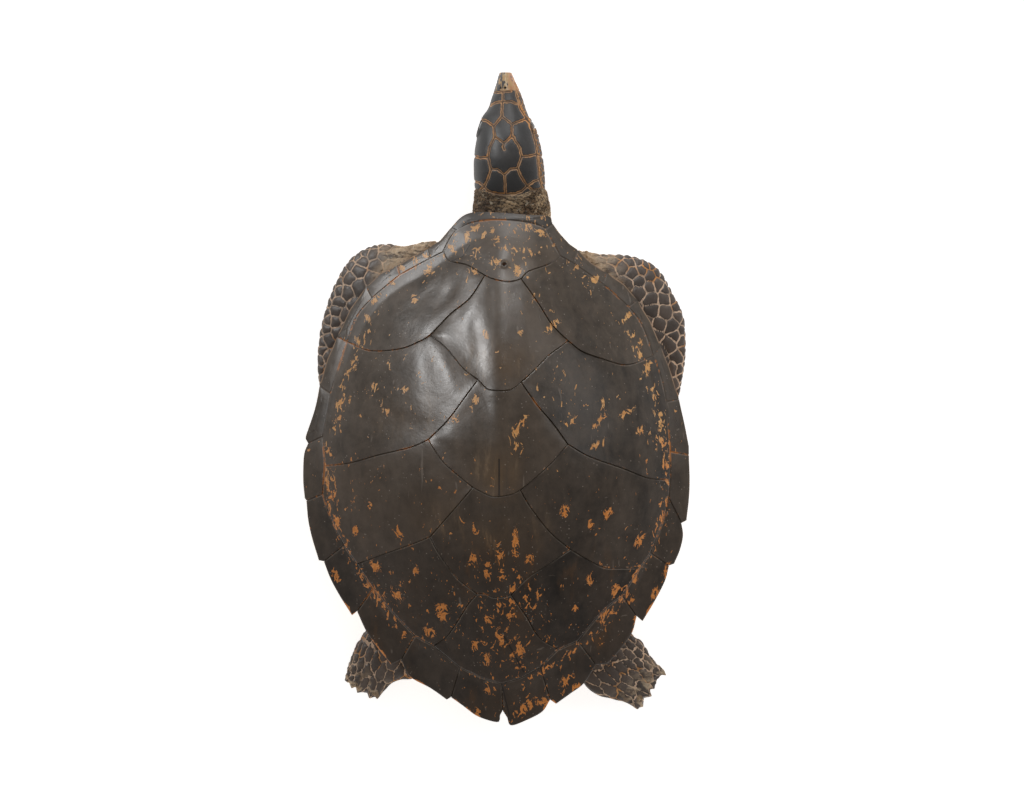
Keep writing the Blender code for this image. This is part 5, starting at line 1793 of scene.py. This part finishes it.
# Softboxes: the way to them, the way along their height, distance, width, height, power, and whether they
# light the surfaces or are only mirrored in them
SOFTBOXES = (
    ((-0.61, 0.46, 0.61), (-0.10, 0.40, -0.41), 2.6, 0.26, 1.22, 64.0, False),
    ((0.20, 0.80, 0.55), (0.03, -0.3, 0.6), 2.6, 0.14, 1.40, 20.0, False),
    ((0.03, 0.86, 0.50), (0.0, -0.5, 0.86), 2.6, 0.09, 0.60, 6.5, False),
    ((0.0, 0.80, 0.55), (0.0, -0.3, 1.0), 3.2, 3.4, 1.5, 17.0, True),
    ((0.75, 0.35, 0.55), (0.0, -0.3, 1.0), 3.0, 1.8, 1.2, 12.0, True),
)
AIM = Vector((0.0, 0.06, 0.1))


def set_camera(scene, look):
    camera = bpy.data.objects.new("camera", bpy.data.cameras.new("camera"))
    camera.data.sensor_width = SENSOR_WIDTH
    camera.data.lens = look.lens
    camera.data.clip_end = CAMERA_REACH
    camera.location = (*CAMERA_PLACE, look.camera_height)
    scene.collection.objects.link(camera)
    scene.camera = camera


def set_world(scene, look):
    world = bpy.data.worlds.new("studio")
    world.use_nodes = True
    sky = world.node_tree.nodes["Background"]
    sky.inputs["Color"].default_value = SKY_COLOUR
    sky.inputs["Strength"].default_value = look.sky
    scene.world = world
    scene.view_settings.view_transform = "Standard"


def set_lights(scene):
    for number, (way, upward, distance, width, height, power, lights_all) in enumerate(SOFTBOXES):
        data = bpy.data.lights.new(f"softbox_{number}", "AREA")
        data.shape = "RECTANGLE"
        data.size, data.size_y, data.energy = width, height, power
        box = bpy.data.objects.new(f"softbox_{number}", data)
        box.visible_diffuse = lights_all
        box.location = AIM + Vector(way).normalized() * distance
        back = Vector(way).normalized()
        side = Vector(upward).cross(back).normalized()
        box.rotation_mode = "QUATERNION"
        box.rotation_quaternion = Matrix((side, back.cross(side), back)).transposed().to_quaternion()
        scene.collection.objects.link(box)


def set_floor(look):
    bm = bmesh.new()
    bmesh.ops.create_grid(bm, x_segments=1, y_segments=1, size=FLOOR_HALF)
    bmesh.ops.translate(bm, verts=bm.verts, vec=(0, 0, -FLOOR_DROP))
    mesh = bpy.data.meshes.new("floor")
    bm.to_mesh(mesh)
    bm.free()
    glow = {"Emission_Color": (1, 1, 1, 1), "Emission_Strength": look.floor_glow}
    white = Finish("floor_white", Roughness=0.9, **glow)
    white.set("Base Color", (look.floor_white,) * 3)
    mesh.materials.append(white.material)
    floor = bpy.data.objects.new("floor", mesh)
    bpy.context.scene.collection.objects.link(floor)


class TURTLE_PT_panel(bpy.types.Panel):
    """Lists the pieces and their looks."""

    bl_idname = "TURTLE_PT_panel"
    bl_label = "Sea Turtle"
    bl_space_type = "VIEW_3D"
    bl_region_type = "UI"
    bl_category = "Turtle"

    def draw(self, context):
        for operator in OPERATORS:
            self.layout.operator(operator.bl_idname)
        for name in LOOKS:
            group = getattr(context.scene, name)
            box = self.layout.box()
            for key in group.__annotations__:
                box.prop(group, key)


OPERATORS = (
    TURTLE_OT_shell_top,
    TURTLE_OT_belly_plate,
    TURTLE_OT_head,
    TURTLE_OT_neck_and_tail,
    TURTLE_OT_flippers,
    TURTLE_OT_stage,
)
LOOKS = {"turtle_shell": ShellLook, "turtle_skin": SkinLook, "turtle_studio": StudioLook}
CLASSES = (*LOOKS.values(), *OPERATORS, TURTLE_PT_panel)


def register():
    for item in CLASSES:
        bpy.utils.register_class(item)
    for name, group in LOOKS.items():
        setattr(bpy.types.Scene, name, PointerProperty(type=group))


def unregister():
    for name in LOOKS:
        delattr(bpy.types.Scene, name)
    for item in reversed(CLASSES):
        bpy.utils.unregister_class(item)


def main():
    register()
    bpy.ops.turtle.shell_top()
    bpy.ops.turtle.belly_plate()
    bpy.ops.turtle.head()
    bpy.ops.turtle.neck_and_tail()
    bpy.ops.turtle.flippers()
    bpy.ops.turtle.stage()


if __name__ == "__main__":
    main()
